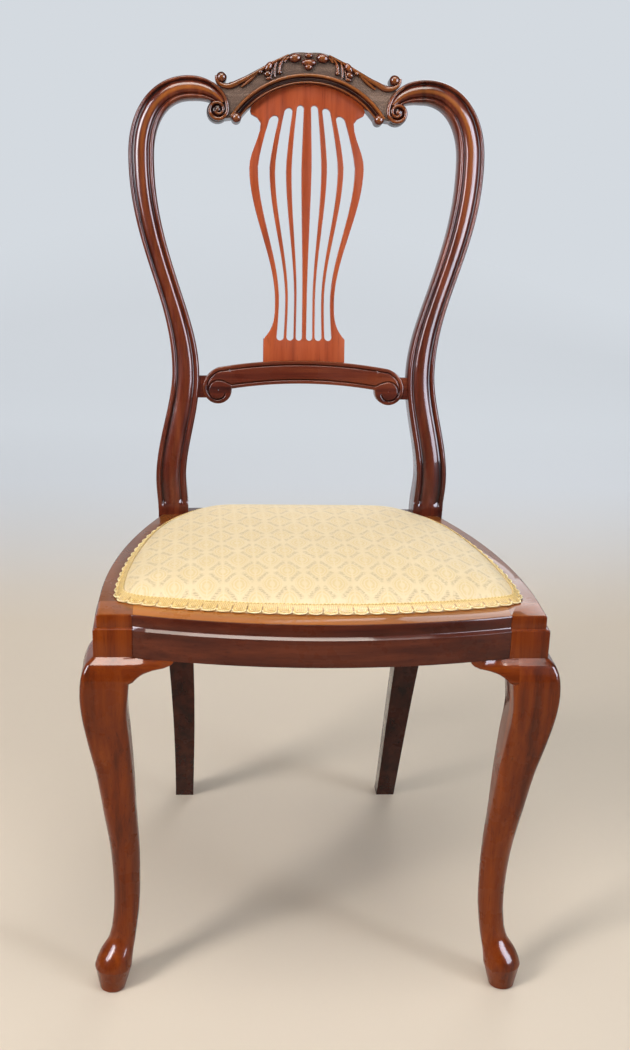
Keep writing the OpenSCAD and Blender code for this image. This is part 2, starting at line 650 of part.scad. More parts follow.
module crest_rail() {
    color("sienna") place() difference() {
        union() {
            for (left = [false, true]) side(left) {
                shoulder();
                on_face(bend_v) {
                    translate([volute_x, volute_v - bend_v, -crest_t])
                        cylinder(r = volute_r - field_d/4, h = crest_t - field_d);
                    boss([volute_x, volute_v], volute_r*eye_share, gap, ground_d);
                    translate([0, -bend_v, 0])
                        coil([volute_x, volute_v], volute_r, volute_rim, coil_from, volute_turns);
                    boss([curl_x, curl_v], curl_r, mould_d/2, crest_t - mould_d);
                    boss([arch_mid*cos(arch_from), arch_v + arch_mid*sin(arch_from)], bead_r, 0, crest_t/2);
                    boss([bud_x, crest_v - bud_drop - bud_r/2], bud_r, 0, crest_t/2);
                }
            }
            on_face(bend_v) {
                slab(ground_d, crest_t) crest_outline();
                slab(rim_d, ground_d + rim_d) crest_rim_outline();
                arch_moulding();
                boss([0, crest_v - berry_drops[0]], berry_r, 0, crest_t/2);
                boss([0, crest_v - berry_drops[1]], berry_r, rim_d, crest_t/2);
            }
        }
        on_face(bend_v) translate([0, arch_v - bend_v, -splat_in - splat_t - gap])
            cylinder(r = arch_r + groove_d + gap, h = splat_t + 2*gap, $fn = 128);
        for (left = [false, true]) side(left) crest_dowel(hole_gap);
    }
}

module crest_dowels() {
    color("burlywood") place() for (left = [false, true]) side(left) crest_dowel();
}

// Mid rail between two arcs, with a scroll at each end and a neck into each post
function sag_r(x, drop) = (x*x + drop*drop)/(2*drop);
mid_r = sag_r(scroll_x - scroll_r/2, mid_drop);
mid_top_c = mid_v - mid_r - mid_h*top_arc_share;
mid_top_r = mid_r + mid_h*top_arc_share;
mid_low_c = mid_v - mid_h - mid_r;
scroll_v = mid_c - mid_drop - mid_h*scroll_drop_share;
function scroll_edge(a) = scroll_r*lerp(1, tail_share, pow((a + 180)/270, tail_power));

module scroll_outline() {
    translate([scroll_x, scroll_v - mid_c]) polygon([for (a = [-180:10:90]) scroll_edge(a)*[cos(a), sin(a)]]);
}

module mid_outline() {
    intersection() {
        translate([0, mid_top_c - mid_c]) circle(r = mid_top_r, $fn = 256);
        translate([-scroll_x, -mid_h*2]) square([2*scroll_x, mid_h*4]);
    }
}

module mid_line(r, c) {
    translate([0, c - mid_c, -mid_in - line_d]) difference() {
        cylinder(r = r + line_w/2, h = line_d + over, $fn = 256);
        translate([0, 0, -over]) cylinder(r = r - line_w/2, h = line_d + 3*over, $fn = 256);
        translate([-mid_r*2, -mid_r*2, -over]) cube([mid_r*2 - scroll_x + scroll_r, mid_r*4, line_d + 3*over]);
        translate([scroll_x - scroll_r, -mid_r*2, -over]) cube([mid_r*2, mid_r*4, line_d + 3*over]);
        translate([-mid_r*2, -mid_r*3, -over]) cube([mid_r*4, mid_r*3, line_d + 3*over]);
    }
}

module mid_solid() {
    on_face(mid_c) difference() {
        union() {
            slab(mid_in, mid_in + mid_t) difference() {
                mid_outline();
                translate([0, mid_low_c - mid_c]) circle(r = mid_r, $fn = 256);
            }
            for (left = [false, true]) side(left) {
                slab(mid_in, mid_in + mid_t) scroll_outline();
                slab(mid_in + field_d, mid_in + mid_t)
                    translate([scroll_x, neck_v - mid_c - neck_h/2]) square([neck_end - scroll_x - gap, neck_h]);
            }
        }
        mid_line(mid_top_r - line_in, mid_top_c);
        mid_line(mid_r + line_in, mid_low_c);
        for (left = [false, true]) side(left)
            translate([scroll_x, scroll_v - mid_c, -mid_in - field_d]) difference() {
                cylinder(r = scroll_r*dish_shares[1], h = field_d + over);
                translate([0, 0, -over]) cylinder(r = scroll_r*dish_shares[0], h = field_d + 3*over);
            }
    }
}

// The splat's own flat frame is the upper back's, so its tenon and mortise are drawn there
module tenon(grow = 0) {
    on_face(bend_v) translate([-splat_foot*tenon_share - grow, mid_v - bend_v - tenon_d - grow,
        -splat_in - splat_t/2 - tenon_t/2 - grow]) cube([2*splat_foot*tenon_share + 2*grow,
        tenon_d + over + grow, tenon_t + 2*grow]);
}

module mid_rail() {
    color("saddlebrown") place() difference() {
        mid_solid();
        tenon(gap);
        for (left = [false, true]) side(left) mid_dowel(hole_gap);
    }
}

module mid_rail_dowels() {
    color("burlywood") place() for (left = [false, true]) side(left) mid_dowel();
}

// Splat: half width of its edge, and of the pattern that its slots follow, by height share
function swell(t) = lerp(splat_slim, splat_wide, ease((t - slim_v_share)/(wide_v_share - slim_v_share)));
function flare(t) = max(0, (slim_v_share - t)/(slim_v_share - flare_end_share));
function splat_edge(t) = t < slim_v_share ? lerp(splat_slim, splat_foot, pow(flare(t), flare_power))
    : t < wide_v_share ? swell(t)
    : lerp(splat_wide, splat_wide*neck_share, ease((t - wide_v_share)/(neck_v_share - wide_v_share)));
function slot_guide(t, out) = t < slim_v_share
    ? splat_slim*(1 + slot_flare_share*out*pow(flare(t), slot_flare_power)) : t < wide_v_share ? swell(t)
    : splat_wide*lerp(1, slot_draw_share, pow((t - wide_v_share)/(1 - wide_v_share), slot_draw_power));
function splat_y(t) = mid_v + splat_h*t - bend_v;
foot_share = splat_foot_h/splat_h;

module slot(k) {
    s = slot_shares[k];
    top = slot_top_shares[k];
    mix = function (t) t/wide_v_share > 1 ? 1 : t/wide_v_share;
    inner = function (t) slot_guide(t, s[0])*lerp(s[0], s[2], mix(t));
    outer = function (t) slot_guide(t, s[1])*lerp(s[1], s[3], mix(t));
    round_off = function (t) let (r = (outer(t) - inner(t))/2/splat_h)
        t < foot_share + r ? sqrt(max(0, 1 - pow((foot_share + r - t)/r, 2)))
        : t > top - r ? sqrt(max(0, 1 - pow((t - top + r)/r, 2))) : 1;
    low = foot_share + slot_end_shares[0];
    high = top - slot_end_shares[1];
    ts = concat([for (i = [0:5]) lerp(foot_share, low, pow(i/5, 2))], [for (i = [1:20]) lerp(low, high, i/20)],
        [for (i = [1:7]) lerp(top, high, pow(1 - i/7, 2))]);
    right = [for (t = ts) [lerp((inner(t) + outer(t))/2, outer(t), round_off(t)), splat_y(t)]];
    left = [for (t = ts) [lerp((inner(t) + outer(t))/2, inner(t), round_off(t)), splat_y(t)]];
    polygon(concat(right, [for (i = [len(left) - 2:-1:1]) left[i]]));
}

module splat_outline() {
    rise = [for (i = [0:9]) let (t = lerp(flare_end_share, slim_v_share, i/10)) [splat_edge(t), splat_y(t)]];
    edge = [for (i = [0:24]) let (t = lerp(slim_v_share, neck_v_share, i/24)) [splat_edge(t), splat_y(t)]];
    wing = [for (w = wing_shares) [splat_wide*w[0], splat_y(neck_v_share + w[1])]];
    hold = arch_r + groove_d - gap;
    top_x = splat_wide*top_share;
    a0 = acos(top_x/hold);
    tongue = [for (i = [0:16]) let (a = lerp(a0, 90, i/16)) [hold*cos(a), arch_v + hold*sin(a) - bend_v]];
    right = concat([[splat_foot, splat_y(-sunk_share)]], rise, edge, wing, tongue);
    left = [for (i = [len(right) - 2:-1:0]) [-right[i][0], right[i][1]]];
    polygon(concat(right, left));
}

module splat() {
    color("chocolate") place() union() {
        difference() {
            on_face(bend_v) slab(splat_in, splat_in + splat_t) difference() {
                splat_outline();
                for (k = [0:2]) for (left = [false, true]) side(left) slot(k);
            }
            on_face(mid_c) translate([0, mid_top_c - mid_c, -mid_in - mid_t - over])
                cylinder(r = mid_top_r + gap, h = mid_t + 3*over, $fn = 256);
        }
        tenon();
    }
}

// Seat frame: outer edge as [inset, height], shared by blocks and rails
frame_edge = concat([[0, leg_h]], [for (e = edge_shares) [e[0]*step_in, ledge_z + e[1]*step_h]]);

module rail_section(r, thick) {
    polygon(concat([for (e = frame_edge) [r - e[0], e[1]]], [[r - thick, seat_top], [r - thick, leg_h]]));
}

// Pad outline: distance from the pad's middle in direction a, softened where its edges meet
function ray_circle(c, r, e) = let (o = [0, pad_mid] - c, b = o*e) -b + sqrt(b*b - o*o + r*r);
function ray_line(n, k, e) = n*e <= 0.01 ? 100*seat_w : (k - n*[0, pad_mid])/(n*e);
cut_n = [cos(45), sin(45)];
cut_k = cut_n*[base_in, seat_d] - post_clear;
function pad_reach(a) = let (e = [sin(a), -cos(a)], rays = [
        ray_circle([0, front_c], front_r - front_in, e),
        ray_circle([side_c, block_w], side_r - pad_in, e),
        ray_circle([-side_c, block_w], side_r - pad_in, e),
        ray_line([0, 1], pad_back, e), ray_line(cut_n, cut_k, e), ray_line([-cut_n[0], cut_n[1]], cut_k, e)])
    let (near = min(rays), ones = [for (r = rays) 1])
    near*pow([for (r = rays) pow(near/r, corner_power)]*ones, -1/corner_power);
function pad_point(a, share, inset) = let (r = pad_reach(a)*(1 - share) - inset)
    [r*sin(a), pad_mid - r*cos(a)];
function pad_plan(inset) = [for (i = [0:pad_n - 1]) pad_point(360*i/pad_n, 0, inset)];

module pad_recess() {
    translate([0, 0, floor_z]) linear_extrude(rebate + over) polygon(pad_plan(-soft_gap));
}

// Screws of a brace, from the brace's long face into the two rails
brace_z = floor_z - brace_gap - brace_h;
screw_out = screw_l/2 - screw_bite;
function front_inner(x) = front_c - sqrt(pow(front_r - front_t, 2) - x*x);
function side_inner(y) = side_c + sqrt(pow(side_r - rail_t, 2) - pow(y - block_w, 2));
front_screw_x = block_in - brace_l*screw_shares[0];
side_screw_y = block_w + brace_l*screw_shares[1];
rear_screw_y = seat_d - brace_l*screw_shares[2];
front_screw = [front_screw_x, front_inner(front_screw_x) + screw_out];
side_screw = [side_inner(side_screw_y) - screw_out, side_screw_y];
back_side_screw = [side_inner(rear_screw_y) - screw_out, rear_screw_y];
back_screw = [base_in - brace_l*screw_shares[3], seat_d + back_rail_in - screw_out];

module screw(at, turn, grow = 0) {
    translate([at[0], at[1], brace_z + brace_h/2]) rotate([0, 90, turn]) {
        translate([0, 0, -screw_l/2]) cylinder(d = screw_d + 2*grow, h = screw_l + grow);
        translate([0, 0, -screw_l/2 - (grow > 0 ? rail_t : 0)])
            cylinder(d = head_d + 2*grow, h = head_h + (grow > 0 ? rail_t : 0));
    }
}

module brace_screw_set(grow = 0) {
    screw(front_screw, -90, grow);
    screw(side_screw, 0, grow);
    screw(back_side_screw, 0, grow);
    screw(back_screw, 90, grow);
}

module front_rail() {
    color("brown") place() difference() {
        intersection() {
            translate([0, front_c, 0]) rotate_extrude($fn = 360) rail_section(front_r, front_t);
            translate([-block_in + gap/2, -front_bow - over, leg_h - over])
                cube([2*block_in - gap, front_bow + over + front_t*2, rail_h + 2*over]);
        }
        pad_recess();
        for (left = [false, true]) side(left) {
            for (s = dowel_shares) front_dowel(s, hole_gap);
            brace_screw_set(hole_gap);
        }
    }
}

module side_rail(left) {
    color("brown") place() side(left) difference() {
        intersection() {
            translate([side_c, block_w, 0]) rotate_extrude($fn = 360) rail_section(side_r, rail_t);
            translate([0, block_w + gap/2, leg_h - over]) cube([seat_w, side_run - gap, rail_h + 2*over]);
        }
        pad_recess();
        for (s = dowel_shares) side_dowel(s, hole_gap);
        brace_screw_set(hole_gap);
    }
}

module back_rail() {
    color("brown") place() difference() {
        translate([-base_in + gap/2, seat_d + back_rail_in, leg_h])
            cube([2*base_in - gap, back_rail_t, rail_h]);
        pad_recess();
        for (left = [false, true]) side(left) {
            for (s = back_dowel_shares) back_dowel(s, hole_gap);
            brace_screw_set(hole_gap);
        }
    }
}

module front_rail_dowels() {
    color("burlywood") place() for (left = [false, true]) side(left) for (s = dowel_shares) front_dowel(s);
}

module side_rail_dowels() {
    color("burlywood") place() for (left = [false, true]) side(left) for (s = dowel_shares) side_dowel(s);
}

module back_rail_dowels() {
    color("burlywood") place() for (left = [false, true]) side(left) for (s = back_dowel_shares) back_dowel(s);
}

// Front leg: square rings with rounded corners, from the foot up to the block's top
function corner_ring(x0, x1, y0, y1, r, z) = flat([for (c = [[x1 - r, y1 - r, 0], [x0 + r, y1 - r, 90],
        [x0 + r, y0 + r, 180], [x1 - r, y0 + r, 270]]) [for (i = [0:5]) let (a = c[2] + 18*i)
        [c[0] + r*cos(a), c[1] + r*sin(a), z]]]);
function leg_cut(z, out, w, r) = corner_ring(half_w + out - w, half_w + out, -out, -out + w, r, z);
function leg_out(s) = lerp(-ankle_in, knee_out, curve(leg_shares, s, 1));
function leg_w(s) = lerp(ankle_w, knee_w, curve(leg_shares, s, 2));
ankle_s = leg_shares[0][0];
flare_h = leg_h*ankle_s - foot_h;
// Corners turn from the knee's small radius to fully round at the ankle
function leg_r(s) = lerp(leg_w(s)*round_share, knee_r, ease((s - round_from_share)/round_over_share));

function foot_rings() = concat(
    [leg_cut(0, pad_foot_out - (pad_foot_w - toe_w)/2 + toe_in, toe_w, toe_w*round_share),
     leg_cut(foot_h*under_share, pad_foot_out - foot_soft, pad_foot_w - 2*foot_soft,
        (pad_foot_w - 2*foot_soft)*round_share)],
    [for (f = flare_shares) if (f[0] < 1) let (w = lerp(pad_foot_w, leg_w(ankle_s), f[2]))
        leg_cut(foot_h + flare_h*f[0], lerp(pad_foot_out, leg_out(ankle_s), f[1]), w, w*round_share)]);
shank_shares = [0.17, 0.2, 0.235, 0.28, 0.33, 0.385, 0.44, 0.5, 0.56, 0.62, 0.68, 0.735, 0.79, 0.84, 0.88, 0.91,
    0.935, 0.955, 0.972, 0.986, 1];
function block_rings() = concat([leg_cut(leg_h + gap, 0, block_w, arris_r)],
    [for (e = frame_edge) if (e[1] > leg_h)
        corner_ring(block_in, half_w - e[0], e[0], block_w, arris_r + e[0]*arris_share, e[1])]);

module front_leg(left) {
    color("saddlebrown") place() side(left) difference() {
        loft(concat(foot_rings(), [for (s = shank_shares) leg_cut(leg_h*s, leg_out(s), leg_w(s), leg_r(s))],
            block_rings()));
        pad_recess();
        for (s = dowel_shares) {
            front_dowel(s, hole_gap);
            side_dowel(s, hole_gap);
        }
    }
}

// Knee bracket: sections from the leg out to the tip, drawn for the front and turned over for the side
function rail_face(x) = front_c - sqrt(pow(front_r, 2) - x*x);
function side_face(y) = half_w - side_c - sqrt(pow(side_r, 2) - pow(y - block_w, 2));
function bracket_ring(t, flank) = let (h = bracket_h*curve(bracket_shares, t))
    [for (s = bracket_rows) let (z = leg_h - gap - h*s[0], k = z/leg_h,
        from = half_w + leg_out(k) - leg_w(k) - gap, x = from - (from - block_in + bracket_l)*t,
        rail = flank ? side_face(half_w - x) : rail_face(x), soft = s[0] == 1 ? bracket_arris : 0,
        front = lerp(-leg_out(k), rail - bracket_proud, ease(t*bracket_rate)))
        s[1] == 0 ? [x, front + soft, z] : [x, rail_base(flank, x), z]];
function rail_base(flank, x) = (flank ? max(0, side_face(half_w - x)) : rail_face(x)) + bracket_t;

module knee_bracket(left, flank) {
    rings = [for (i = [0:10]) bracket_ring(i/10, flank)];
    swapped = [for (g = rings) [for (j = [len(g) - 1:-1:0]) [half_w - g[j][1], half_w - g[j][0], g[j][2]]]];
    color("sienna") place() side(left) loft(flank ? swapped : rings);
}

// Corner braces between the rails' inner faces
module inner_circles() {
    intersection() {
        translate([0, front_c]) circle(r = front_r - front_t - gap, $fn = 360);
        translate([side_c, block_w]) circle(r = side_r - rail_t - gap, $fn = 360);
    }
}

module brace(left, rear) {
    back_y = seat_d + back_rail_in - gap;
    c = front_cut_shares;
    color("burlywood") place() side(left) difference() {
        translate([0, 0, brace_z]) linear_extrude(brace_h) intersection() {
            inner_circles();
            if (rear) polygon([[base_in - brace_l, back_y], [base_out, back_y], [base_out, seat_d - brace_l],
                [base_out - rail_t, seat_d - brace_l*rear_cut_share]]);
            else polygon([[block_in - brace_l, 0], [half_w, 0], [half_w, block_w + brace_l],
                [half_w - rail_t*c[1], block_w + brace_l*c[0]], [block_in - brace_l*c[2], front_t*c[3]]]);
        }
        translate([block_in - gap, -gap, 0]) cube([block_w + 2*gap, block_w + 2*gap, seat_top]);
        translate([base_in - gap, seat_d - gap, 0]) cube([base_w + 2*gap, base_t, seat_top]);
        brace_screw_set(hole_gap);
    }
}

module brace_screws() {
    color("gray") place() for (left = [false, true]) side(left) brace_screw_set();
}

// Webbing straps pass over and under each other where they cross
function strap_x(i) = strap_shares[i]*seat_w;
function strap_y(i) = cross_strap_shares[i]*seat_d;
function front_end(x) = front_c - sqrt(pow(front_r - front_in - strap_gap, 2) - x*x);
function side_end(y) = side_c + sqrt(pow(side_r - pad_in - strap_gap, 2) - pow(y - block_w, 2));
lift = (web_t + gap)/2;
web_z = floor_z + soft_gap/2 + web_t/2 + lift;
// Height of a strap's middle: full rise or fall across each crossing strap
function wave(at, crossings, up) = lift*up*[for (k = [0:2])
    let (t = (abs(at - crossings[k]) - web_w/2)/(web_w*wave_share))
    t < 1 ? (k % 2 == 0 ? 1 : -1)*(1 - ease(t)) : 0]*[1, 1, 1];

module strap(points) {
    loft([for (p = points) [[p[0][0], p[0][1], p[1] - web_t/2], [p[2][0], p[2][1], p[1] - web_t/2],
        [p[2][0], p[2][1], p[1] + web_t/2], [p[0][0], p[0][1], p[1] + web_t/2]]]);
}

module webbing_lengthwise() {
    crossings = [for (i = [0:2]) strap_y(i)];
    y1 = pad_back - strap_gap;
    color("tan") place() for (i = [0:2]) let (x = strap_x(i), y0 = front_end(abs(x) + web_w/2))
        strap([for (k = [0:26]) let (y = lerp(y0, y1, k/26))
            [[x - web_w/2, y], web_z + wave(y, crossings, i % 2 == 0 ? 1 : -1), [x + web_w/2, y]]]);
}

module webbing_crosswise() {
    crossings = [for (i = [0:2]) strap_x(i)];
    color("tan") place() for (i = [0:2]) let (y = strap_y(i), x1 = side_end(y + web_w/2))
        strap([for (k = [0:26]) let (x = lerp(-x1, x1, k/26))
            [[x, y + web_w/2], web_z + wave(x, crossings, i % 2 == 0 ? -1 : 1), [x, y - web_w/2]]]);
}

hessian_z = floor_z + soft_gap/2 + 2*(web_t + gap);

module hessian() {
    color("peru") place() translate([0, 0, hessian_z]) linear_extrude(hessian_t)
        polygon(pad_plan(cover_t + 2*soft_gap));
}

// Pad surfaces: a ring of the crowned form at a row of the table, drawn in by inset and lowered by drop
function pad_ring(k, inset, drop) = [for (i = [0:pad_n - 1])
    let (p = pad_point(360*i/pad_n, pad_shares[k][0], inset*(1 - pad_shares[k][0])))
    [p[0], p[1], seat_top + crown_h*pad_shares[k][1] - drop]];
function rim_ring(z, inset) = [for (p = pad_plan(inset)) [p[0], p[1], z]];
pad_rows = len(pad_shares) - 2;

module stuffing() {
    tuck = cover_t + soft_gap;
    color("wheat") place() loft(concat([rim_ring(hessian_z + hessian_t + gap, tuck + 1.5*soft_gap)],
        [for (k = [0:pad_rows]) pad_ring(k, tuck + soft_gap*(k == 0 ? 0.5 : 0), tuck)]));
}

module seat_cover() {
    low = hessian_z + hessian_t + gap;
    outer = concat([rim_ring(low, soft_gap)], [for (k = [0:pad_rows]) pad_ring(k, 0, 0)]);
    inner = concat([for (k = [pad_rows:-1:0]) pad_ring(k, cover_t, cover_t)],
        [rim_ring(low, cover_t + soft_gap)]);
    color("palegoldenrod") place() shell(concat(outer, inner), len(outer) - 1);
}

// Closed skin through rings that run up the outside and down the inside, open below
module shell(rings, top) {
    n = len(rings[0]);
    m = len(rings);
    tip = [0, 0, crown_h*tip_share];
    points = concat(flat(rings), [mean(rings[top]) + tip, mean(rings[top + 1]) + tip]);
    sides = [for (i = [0:m - 1]) if (i != top) for (j = [0:n - 1])
        let (a = i*n + j, b = i*n + (j + 1)%n, c = ((i + 1)%m)*n + j, d = ((i + 1)%m)*n + (j + 1)%n)
        each [[a, b, c], [b, d, c]]];
    caps = [for (j = [0:n - 1]) each [[top*n + j, top*n + (j + 1)%n, n*m],
        [(top + 1)*n + (j + 1)%n, (top + 1)*n + j, n*m + 1]]];
    polyhedron(points, concat(sides, caps), convexity = 6);
}

// Gimp laid over the joint of cover and frame: rises with the pad's edge
function gimp_ring(i) = let (a = 360*i/pad_n, reach = pad_reach(a),
        rows = [for (k = [0:3]) [pad_shares[k][0]*reach, seat_top + crown_h*pad_shares[k][1]]],
        in = gimp_w*gimp_in_share, share = (in - rows[2][0])/(rows[3][0] - rows[2][0]),
        far = [in, lerp(rows[2][1], rows[3][1], share)],
        under = [[in - gimp_w, seat_top + gap], rows[0] + soft_gap*[-1.3, 1], rows[1] + soft_gap*[-1, 0.8],
            rows[2] + soft_gap*[-0.8, 1], far + soft_gap*[-0.6, 1.2]],
        top = [for (u = under) u + gimp_t*(u == under[0] ? [0, 0.8] : [-0.62, 0.78])])
    [for (u = concat(under, [for (j = [4:-1:0]) top[j]])) let (p = pad_point(a, 0, u[0])) [p[0], p[1], u[1]]];

module gimp_braid() {
    rings = [for (i = [0:pad_n - 1]) gimp_ring(i)];
    n = len(rings[0]);
    color("gold") place() polyhedron(flat(rings), [for (i = [0:pad_n - 1]) for (j = [0:n - 1])
        let (a = i*n + j, b = i*n + (j + 1)%n, c = ((i + 1)%pad_n)*n + j, d = ((i + 1)%pad_n)*n + (j + 1)%n)
        each [[a, c, b], [b, c, d]]], convexity = 6);
}

back_post(true);  // back_post_left
back_post(false);  // back_post_right
crest_rail();
crest_dowels();
splat();
mid_rail();
mid_rail_dowels();
front_rail();
side_rail(true);  // side_rail_left
side_rail(false);  // side_rail_right
back_rail();
front_leg(true);  // front_leg_left
front_leg(false);  // front_leg_right
knee_bracket(true, false);  // knee_bracket_left_front
knee_bracket(false, false);  // knee_bracket_right_front
knee_bracket(true, true);  // knee_bracket_left_side
knee_bracket(false, true);  // knee_bracket_right_side
front_rail_dowels();
side_rail_dowels();
back_rail_dowels();
brace(true, false);  // brace_front_left
brace(false, false);  // brace_front_right
brace(true, true);  // brace_back_left
brace(false, true);  // brace_back_right
brace_screws();
webbing_lengthwise();
webbing_crosswise();
hessian();
stuffing();
seat_cover();
gimp_braid();
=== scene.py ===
"""Looks of the balloon back chair.

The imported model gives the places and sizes. This script rebuilds the show wood with its full moulding
and carving, pads and covers the seat, lays the gimp and weaves the webbing, and gives every piece its
finish. Sizes are millimetres on the drawing, as in the part's source, and become metres in the meshes.
"""

import json
import logging
import math
from dataclasses import dataclass, field
from enum import Enum
from typing import Iterable, Sequence

import bmesh
import bpy
import numpy as np
from mathutils import Matrix, Vector

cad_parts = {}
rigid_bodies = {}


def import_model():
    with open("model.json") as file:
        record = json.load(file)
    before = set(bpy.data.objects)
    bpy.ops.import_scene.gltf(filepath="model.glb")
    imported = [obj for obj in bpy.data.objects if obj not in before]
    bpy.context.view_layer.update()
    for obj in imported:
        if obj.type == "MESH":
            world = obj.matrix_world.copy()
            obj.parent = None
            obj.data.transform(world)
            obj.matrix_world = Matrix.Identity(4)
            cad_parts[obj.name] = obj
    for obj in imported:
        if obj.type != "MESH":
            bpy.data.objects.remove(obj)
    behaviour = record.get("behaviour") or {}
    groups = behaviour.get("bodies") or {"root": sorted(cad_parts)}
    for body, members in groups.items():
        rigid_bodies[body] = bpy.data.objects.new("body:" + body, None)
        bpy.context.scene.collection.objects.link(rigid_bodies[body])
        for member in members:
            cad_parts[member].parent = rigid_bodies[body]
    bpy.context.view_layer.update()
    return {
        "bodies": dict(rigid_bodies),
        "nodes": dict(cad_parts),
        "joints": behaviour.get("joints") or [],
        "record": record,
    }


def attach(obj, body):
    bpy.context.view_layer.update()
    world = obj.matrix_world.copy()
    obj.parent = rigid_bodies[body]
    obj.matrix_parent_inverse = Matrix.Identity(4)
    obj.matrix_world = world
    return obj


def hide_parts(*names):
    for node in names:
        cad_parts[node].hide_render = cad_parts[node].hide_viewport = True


LOG = logging.getLogger("chair")
MM = 0.001
BODY = "root"
TONE = "tone"
CLOTH = "cloth"

Array = np.ndarray
Floats = np.ndarray | float
Material = bpy.types.Material
Mesh = bpy.types.Mesh
Node = bpy.types.Node
Pair = tuple[float, float]
Piece = bpy.types.Object
Rows = Sequence[Sequence[float]]
Socket = bpy.types.NodeSocket
Triple = tuple[float, float, float]
join = np.concatenate
span = np.linspace


def ease(t: Floats) -> Array:
    """Returns a smooth step from 0 to 1 at t."""
    t = np.clip(t, 0.0, 1.0)
    return t * t * (3 - 2 * t)


def angles(first: float, last: float, n: int) -> Array:
    """Returns n angles between two, which are in degrees, in radians."""
    return np.radians(span(first, last, n))


def circle(n: int) -> Array:
    """Returns n even angles round a circle."""
    return angles(0, 360, n + 1)[:-1]


def stack(*parts: Floats) -> Array:
    """Returns points from their coordinates, in the last axis."""
    return np.stack(np.broadcast_arrays(*parts), axis=-1)


def unit(run: Array) -> Array:
    """Returns directions at length 1."""
    return run / np.linalg.norm(run, axis=-1, keepdims=True)


def beside(run: Array) -> Array:
    """Returns the directions to the right of directions [x, v]."""
    return stack(run[..., 1], -run[..., 0])


def mix(a: float, b: float, t: Floats) -> Array:
    """Returns the value between a and b at t."""
    return a + (b - a) * np.asarray(t)


def curve(rows: Rows, x: Floats, column: int = 1) -> Array:
    """Returns a smooth curve through the rows of a table, read in one column, at places x in its first."""
    table = np.asarray(rows, float)
    xs, ys = table[:, 0], table[:, column]
    x = np.asarray(x, float)
    slopes = np.empty_like(ys)
    slopes[1:-1] = (ys[2:] - ys[:-2]) / (xs[2:] - xs[:-2])
    slopes[0] = (ys[1] - ys[0]) / (xs[1] - xs[0])
    slopes[-1] = (ys[-1] - ys[-2]) / (xs[-1] - xs[-2])
    i = np.clip(np.searchsorted(xs, x, side="right") - 1, 0, len(xs) - 2)
    h = xs[i + 1] - xs[i]
    t = (x - xs[i]) / h
    low = ys[i] * (1 + 2 * t) * (1 - t) ** 2 + slopes[i] * h * t * (1 - t) ** 2
    return low + ys[i + 1] * t * t * (3 - 2 * t) - slopes[i + 1] * h * t * t * (1 - t)


def bezier(points: Sequence[Sequence[float]], t: Floats) -> Array:
    """Returns the points at t of a cubic curve with four control points."""
    a, b, c, d = (np.asarray(p, float) for p in points)
    t = np.asarray(t, float)[..., None]
    return (1 - t) ** 3 * a + 3 * t * (1 - t) ** 2 * b + 3 * t * t * (1 - t) * c + t**3 * d


class Grain(Enum):
    """Direction in which a piece of wood was sawn."""

    ACROSS = "across the chair"
    DEEP = "front to back"
    UP = "straight up"
    LEANING = "up the leaning back"


@dataclass(frozen=True)
class BackPlan:
    """Shared drawing of the chair: side view of the back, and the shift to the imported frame."""

    seat_w: float = 452
    seat_d: float = 312
    seat_top: float = 438
    rail_h: float = 44
    low_len: float = 60
    bend_len: float = 200
    lean_low: float = 8
    lean_top: float = 12.5
    leg_sweep: float = 109
    rear_foot_t: float = 24
    front_bow: float = 24

    @property
    def half_w(self) -> float:
        """Half the width over the front blocks."""
        return self.seat_w / 2

    @property
    def leg_h(self) -> float:
        """Height of the rails' lower edge."""
        return self.seat_top - self.rail_h

    @property
    def bend_v(self) -> float:
        """Distance up the back at which it becomes straight."""
        return self.low_len + self.bend_len

    @property
    def mid_y(self) -> float:
        """Shift from the drawing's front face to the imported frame's origin."""
        return (self.seat_d + self.leg_sweep + self.rear_foot_t - self.front_bow) / 2

    def lean(self, v: Floats) -> Array:
        """Returns the back's lean at v, in radians."""
        v = np.asarray(v, float)
        low = self.lean_low * np.clip(v, 0, self.low_len) / self.low_len
        more = (self.lean_top - self.lean_low) * np.clip(v - self.low_len, 0, self.bend_len) / self.bend_len
        return np.radians(low + more)

    def at(self, x: Floats, v: Floats, d: Floats) -> Array:
        """Places points of the back: x across, v up its front face from the frame's top and d behind it."""
        x, v, d = np.broadcast_arrays(*(np.asarray(k, float) for k in (x, v, d)))
        low, top = math.radians(self.lean_low), math.radians(self.lean_top)
        r1, r2 = self.low_len / low, self.bend_len / (top - low)
        a = self.lean(v)
        lower, upper = np.minimum(a, low), np.maximum(a, low)
        y = self.seat_d + r1 * (1 - np.cos(lower)) + r2 * (math.cos(low) - np.cos(upper))
        z = self.seat_top + r1 * np.sin(lower) + r2 * (np.sin(upper) - math.sin(low))
        rest = np.maximum(v - self.bend_v, 0)
        y, z = y + rest * np.sin(a), z + rest * np.cos(a) + np.minimum(v, 0)
        return stack(x, y + d * np.cos(a), z - d * np.sin(a))


PLAN = BackPlan()


